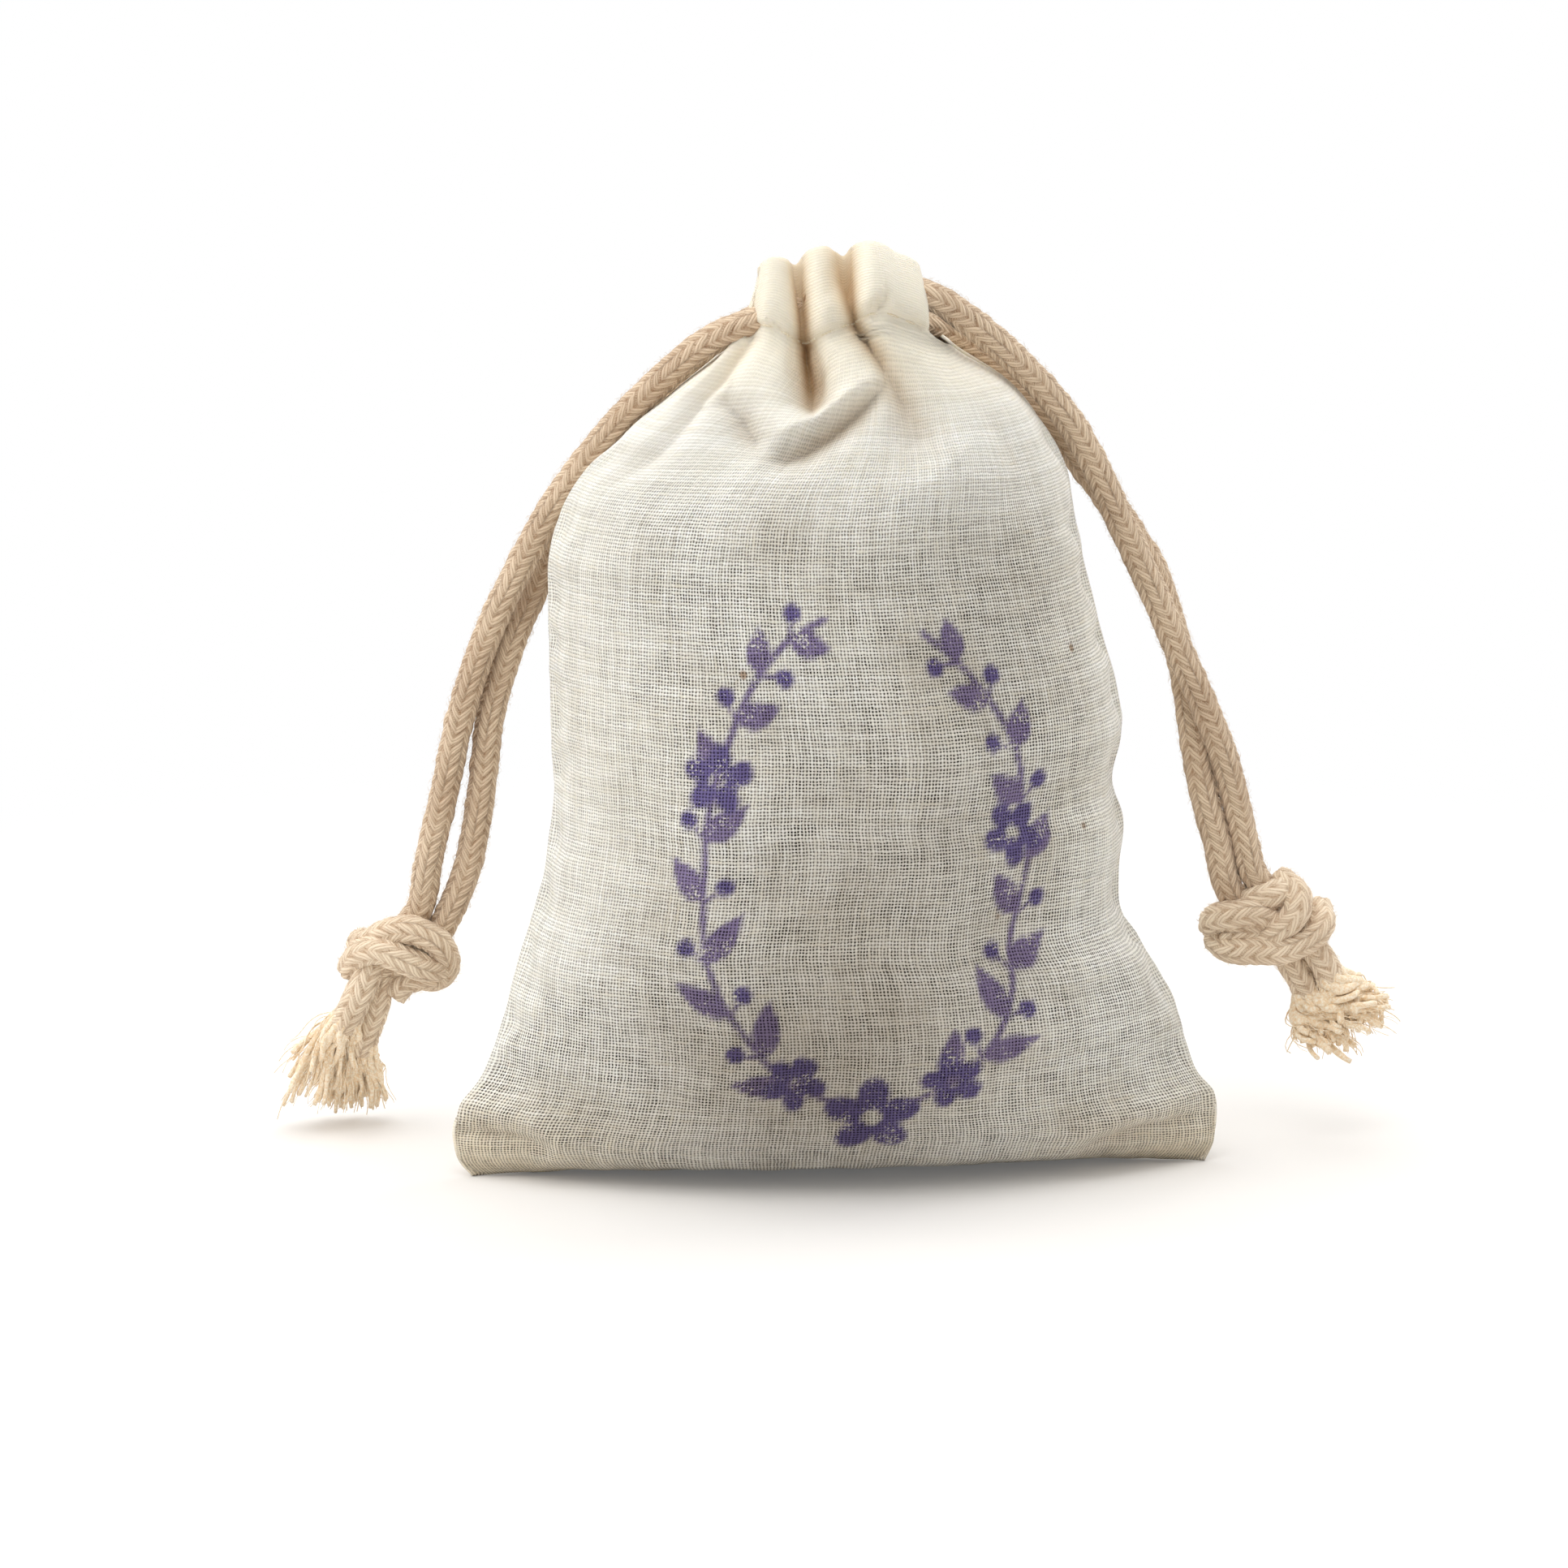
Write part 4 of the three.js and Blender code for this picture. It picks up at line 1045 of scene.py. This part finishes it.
def panel_points(facing, depths, creases):
    """The points of one panel with its creases and puckers, their places on the flat cloth, and values."""
    grid, rows, run, seam_row = panel_surface(facing, depths)
    share = np.linspace(0, 1, CLOTH_COLUMNS + 1)
    edge = np.minimum(share, 1 - share)[None] * FLAT_WIDTH
    x, y, z = np.moveaxis(grid.copy(), -1, 0)
    normal = unit(np.cross(np.gradient(grid, axis=1), np.gradient(grid, axis=0)))
    outer = np.ones_like(z)
    outer[seam_row:] = smoothstep(2.2, 5.5, rows[seam_row:, 1])[:, None]
    sunk = sum(near_line(x, np.minimum(z, CREASE_TOP), fold) for fold in creases) * outer
    sunk[seam_row:] = np.minimum(sunk[seam_row:], DEEPEST_GATHER * np.abs(y[seam_row:]))
    from_stitch = (np.arange(len(rows)) - seam_row)[:, None] * CLOTH_STEP
    pinch = STITCH_PINCH * np.exp(-np.abs(from_stitch / PINCH_REACH) ** 1.3) * smoothstep(1, 4, edge)
    level = smoothstep(80, 86, z)[:, :, None]
    level[seam_row:] = 1
    inward = unit(np.array([0, -facing, -0.25]))
    grid += normal * (swelling(x, y, z, edge, facing) - pinch)[:, :, None]
    grid += (inward * level - normal * (1 - level)) * sunk[:, :, None]
    ridge = SEAM_RIDGE * np.exp(-((edge / RIDGE_REACH) ** 2)) * smoothstep(*BODY_FADE, z)
    ridge = ridge * smoothstep(3, 8, grid[:, :, 2])
    grid[:, :, 0] += np.where(share < 0.5, 1, -1)[None] * facing * ridge
    grid[:, :, 2] = np.maximum(grid[:, :, 2], LOWEST)
    flat = np.stack(np.broadcast_arrays((share[None] - 0.5) * FLAT_WIDTH, run[:, None]), axis=-1)
    return grid, flat, material_values(grid, share, edge, facing, seam_row, sunk), seam_row


def turned(u, v, centre, angle):
    """How far each point lies from a centre along a direction, and across it."""
    c, s = math.cos(angle), math.sin(angle)
    du, dv = u - centre[0], v - centre[1]
    return du * c + dv * s, -du * s + dv * c


def ellipse(u, v, centre, length, width, angle):
    """Signed distance, roughly in millimetres, to an ellipse."""
    a, b = turned(u, v, centre, angle)
    return (np.hypot(a / length, b / width) - 1) * min(length, width)


def almond(u, v, base, length, width, angle):
    """Signed distance, roughly, to a pointed leaf from its base."""
    a, b = turned(u, v, base, angle)
    t = np.clip(a / length, 0, 1)
    half = width * np.sin(math.pi * t**0.8)
    return np.where((a < 0) | (a > length), np.hypot(np.maximum(-a, a - length), b), np.abs(b) - half)


def stem(u, v, points, width):
    """Signed distance to a smooth stem."""
    path = smooth_path(points, 1.0)
    distance = np.full(u.shape, FAR)
    for a, b in zip(path, path[1:]):
        _, du, dv = off_segment(u, v, a, b)
        distance = np.minimum(distance, np.hypot(du, dv))
    return distance - width


WREATH_CENTRE = np.array([2.0, 47.0])
WREATH_REACH = np.array([16.5, 25.0])
BRANCH_END = {1: 66, -1: 78}  # degrees, where the two branches end
BRANCH_START = -78
BRANCH_POINTS = 12
LEAF_TURN = 0.7
LEAF_SIZE = (6.6, 1.35)
STEM_WIDTH = 0.34
STALK_LENGTH = 2.6
STALK_WIDTH = 0.2
BERRY_RADIUS = 0.95
INK_EDGE = 0.2
FLOWERS = [
    ((2, 21), 4.6, 0.3), ((-5.6, 25), 3.1, 1.0), ((9.6, 25), 3.1, 0.6), ((-13.4, 56), 3.4, 0.2),
    ((17, 50), 3.4, 0.9),
]


def wreath_point(side, angle):
    return WREATH_CENTRE + WREATH_REACH * np.array([side * math.cos(angle), math.sin(angle)])


def flower(u, v, centre, reach, turn):
    """Signed distance, roughly, to five round petals about an open eye."""
    distance = np.full(u.shape, FAR)
    for petal in range(5):
        angle = turn + petal * 2 * math.pi / 5
        middle = np.array(centre) + 0.58 * reach * np.array([math.cos(angle), math.sin(angle)])
        distance = np.minimum(distance, ellipse(u, v, middle, 0.46 * reach, 0.34 * reach, angle))
    return np.maximum(distance, -ellipse(u, v, centre, 0.2 * reach, 0.2 * reach, 0))


def print_values(flat):
    """A stamped wreath of leafy branches, berries and simple flowers: how much ink, and how much is leaf."""
    u, v = flat[..., 0], flat[..., 1]
    bloom = np.full(u.shape, FAR)
    leaf = np.full(u.shape, FAR)
    for side in (1, -1):
        angles = np.radians(np.linspace(BRANCH_START, BRANCH_END[side], BRANCH_POINTS))
        branch = [wreath_point(side, a) for a in angles]
        leaf = np.minimum(leaf, stem(u, v, branch, STEM_WIDTH))
        for i, (here, after) in enumerate(zip(branch[1:], branch[2:])):
            heading = math.atan2(*(after - here)[::-1])
            turn = LEAF_TURN if i % 2 == 0 else -LEAF_TURN
            length = LEAF_SIZE[0] - 0.25 * i
            leaf = np.minimum(leaf, almond(u, v, here, length, LEAF_SIZE[1], heading + turn))
            stalk = heading - turn * 1.25
            berry = here + STALK_LENGTH * np.array([math.cos(stalk), math.sin(stalk)])
            leaf = np.minimum(leaf, stem(u, v, [here, berry], STALK_WIDTH))
            bloom = np.minimum(bloom, ellipse(u, v, berry, BERRY_RADIUS, BERRY_RADIUS, 0))
    for centre, reach, turn in FLOWERS:
        bloom = np.minimum(bloom, flower(u, v, centre, reach, turn))
    bloom_ink = smoothstep(INK_EDGE, -INK_EDGE, bloom)
    leaf_ink = smoothstep(INK_EDGE, -INK_EDGE, leaf)
    return np.maximum(bloom_ink, leaf_ink), leaf_ink * (1 - bloom_ink)


def make_panel(name, facing, depths, creases, printed):
    grid, flat, values, seam_row = panel_points(facing, depths, creases)
    make_stitches(name, facing, grid[seam_row, STITCH_MARGIN:-STITCH_MARGIN])
    ink, leaf = print_values(flat) if printed else np.zeros((2, *flat.shape[:2]))
    pile = Pile()
    faces = grid_faces(*grid.shape[:2], False)
    pile.add(grid, faces, ink=ink, leaf=leaf, **values)
    cloth = pile.build(f"{name}_cloth", MUSLIN)
    mesh = cloth.data
    layer = mesh.uv_layers.new(name="cloth")
    corners = np.zeros(len(mesh.loops), int)
    mesh.loops.foreach_get("vertex_index", corners)
    layer.data.foreach_set("uv", (flat.reshape(-1, 2)[corners] * MM).ravel())
    solid = cloth.modifiers.new("thickness", "SOLIDIFY")
    solid.thickness = CLOTH_THICKNESS * MM
    solid.offset = -1
    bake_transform(cloth)
    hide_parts(f"{name}_panel", f"{name}_casing")
    return grid


# Stitching

STITCH_LENGTH = 1.7
STITCH_GAP = 0.5
STITCH_RADIUS = 0.13
STITCH_STEP = 0.1
STITCH_RISE = 0.2
STITCH_DIP = 0.22
STITCH_PROUD = 0.05
STITCH_MARGIN = 12  # columns of cloth at each end of a casing that have no stitches


def make_stitches(name, facing, seam):
    """The row of stitches under a casing, each a short thread that dips into the cloth at both ends."""
    line = resample(seam + np.array([0, facing * STITCH_PROUD, 0]), STITCH_STEP)
    per_stitch = int(STITCH_LENGTH / STITCH_STEP)
    spacing = int((STITCH_LENGTH + STITCH_GAP) / STITCH_STEP)
    arch = STITCH_RISE * np.sin(np.linspace(0, math.pi, per_stitch)) - STITCH_DIP
    pile = Pile()
    for start in range(0, len(line) - per_stitch, spacing):
        stitch = line[start : start + per_stitch].copy()
        stitch[:, 1] += facing * arch
        round_tube(pile, stitch, STITCH_RADIUS, 8)
    stitches = pile.build(f"{name}_stitches", THREAD)
    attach(stitches, f"{name}_lip")
    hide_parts(f"{name}_casing_thread")


# Filling

FILLING_INSET = 1.2
FILLING_FOOT = 3.5
FILLING_TOP = 73
FILLING_MARGIN = 10  # columns of cloth at each side seam that the buds do not reach
FILLING_EVERY = 3  # the heap takes one in three of the cloth's rows and columns
DOME_ROWS = 12
DOME_RISE = 2.5


def make_filling(panels):
    """The dried buds inside: a heap that keeps just inside both panels, rounded off under the gathers."""
    pile = Pile()
    rims = []
    for facing, grid in panels.items():
        heights = grid[:, CLOTH_COLUMNS // 2, 2]
        outside = np.arange(len(heights)) < heights.argmax()
        rows = (heights > FILLING_FOOT) & (heights < FILLING_TOP) & outside
        body = grid[rows][::FILLING_EVERY, FILLING_MARGIN:-FILLING_MARGIN:FILLING_EVERY]
        normal = unit(np.cross(np.gradient(body, axis=1), np.gradient(body, axis=0)))
        inner = body - normal * FILLING_INSET
        inner[:, :, 1] = facing * np.maximum(facing * inner[:, :, 1] - FILLING_INSET, 0.05)
        pile.add(inner, grid_faces(*inner.shape[:2], False))
        rims.append(inner[-1])
    front, back = rims[0], rims[1][::-1]
    bridge = np.linspace(0, 1, DOME_ROWS)[:, None, None]
    top = front * (1 - bridge) + back * bridge
    rise = np.sin(math.pi * bridge[:, 0]) * np.sin(np.linspace(0, math.pi, front.shape[0]))
    top[:, :, 2] += DOME_RISE * rise
    pile.add(top, grid_faces(*top.shape[:2], False))
    heap = pile.build("lavender_buds", BUDS)
    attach(heap, "bag")
    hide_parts("lavender_filling")


# Stage

FLOOR_RADIUS = 0.48
FLOOR_COLOUR = colour(233, 230, 226)
# How much whiter the camera sees the floor, up to white where it meets the background, and where it turns.
FLOOR_WHITENING = 0.1
FLOOR_FADE = (0.06, 0.2)
WHITE = (1, 1, 1, 1)
WORLD_STRENGTH = 0.5
# Each lamp's place and what it points at, in metres, its size and its power.
LAMPS = {
    "key": ((-0.6, 0.12, 0.34), (0, 0, 0.05), 0.4, 1.1),
    "left": ((-0.6, -0.25, 0.4), (0, 0, 0.05), 0.4, 1.1),
    "rim": ((0.6, 0.3, 0.34), (0, 0, 0.05), 0.4, 2.0),
    "top": ((-0.05, 0.08, 0.8), (0, 0, 0), 0.9, 4.0),
    "front": ((-0.1, -0.4, 0.75), (0, 0, 0.04), 0.5, 1.9),
}


def make_stage():
    angles = np.linspace(0, 2 * math.pi, 96, endpoint=False)
    rim = np.column_stack([np.cos(angles), np.sin(angles), 0 * angles]) * FLOOR_RADIUS
    mesh = bpy.data.meshes.new("floor")
    mesh.from_pydata(rim.tolist(), [], [list(range(len(rim)))])
    floor = placed("floor", mesh)
    g = Graph(bpy.data.materials.new("floor"))
    g.surface({"Base Color": FLOOR_COLOUR, "Roughness": 0.9})
    white = g.node("ShaderNodeEmission", {"Color": WHITE, "Strength": 1.0})
    reach = g.node("ShaderNodeVectorMath", {0: g.node("ShaderNodeNewGeometry")}, "Value", operation="LENGTH")
    whitening = g.ease(reach, *FLOOR_FADE, FLOOR_WHITENING, 1.0)
    seen = g.times(g.seen_directly(), whitening)
    mixed = g.node("ShaderNodeMixShader", {0: seen, 1: g.shader.outputs[0], 2: white})
    g.put(mixed, g.tree.nodes["Material Output"].inputs["Surface"])
    mesh.materials.append(g.owner)


def make_lamp(name, place, target, size, power):
    data = bpy.data.lights.new(name, "AREA")
    data.energy = power
    data.size = size
    lamp = placed(name, data)
    lamp.location = place
    direction = Vector(target) - Vector(place)
    lamp.rotation_euler = direction.to_track_quat("-Z", "Y").to_euler()


def make_light():
    world = bpy.data.worlds.new("studio")
    bpy.context.scene.world = world
    g = Graph(world)
    background = g.tree.nodes["Background"]
    g.put(WHITE, background.inputs["Color"])
    g.put(WORLD_STRENGTH, background.inputs["Strength"])
    white = g.node("ShaderNodeBackground", {"Color": WHITE, "Strength": 1.0})
    shown = g.node("ShaderNodeMixShader", {0: g.seen_directly(), 1: background.outputs[0], 2: white})
    g.put(shown, g.tree.nodes["World Output"].inputs["Surface"])
    for name, lamp in LAMPS.items():
        make_lamp(name, *lamp)


make_camera()
make_cords()
panels = {
    -1: make_panel("front", -1, FRONT_DEPTH, FRONT_CREASES, True),
    1: make_panel("back", 1, BACK_DEPTH, BACK_CREASES, False),
}
make_filling(panels)
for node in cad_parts:
    if node.endswith("_thread"):
        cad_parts[node].data.materials.clear()
        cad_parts[node].data.materials.append(THREAD)
make_stage()
make_light()
bpy.context.scene.view_settings.view_transform = "Standard"
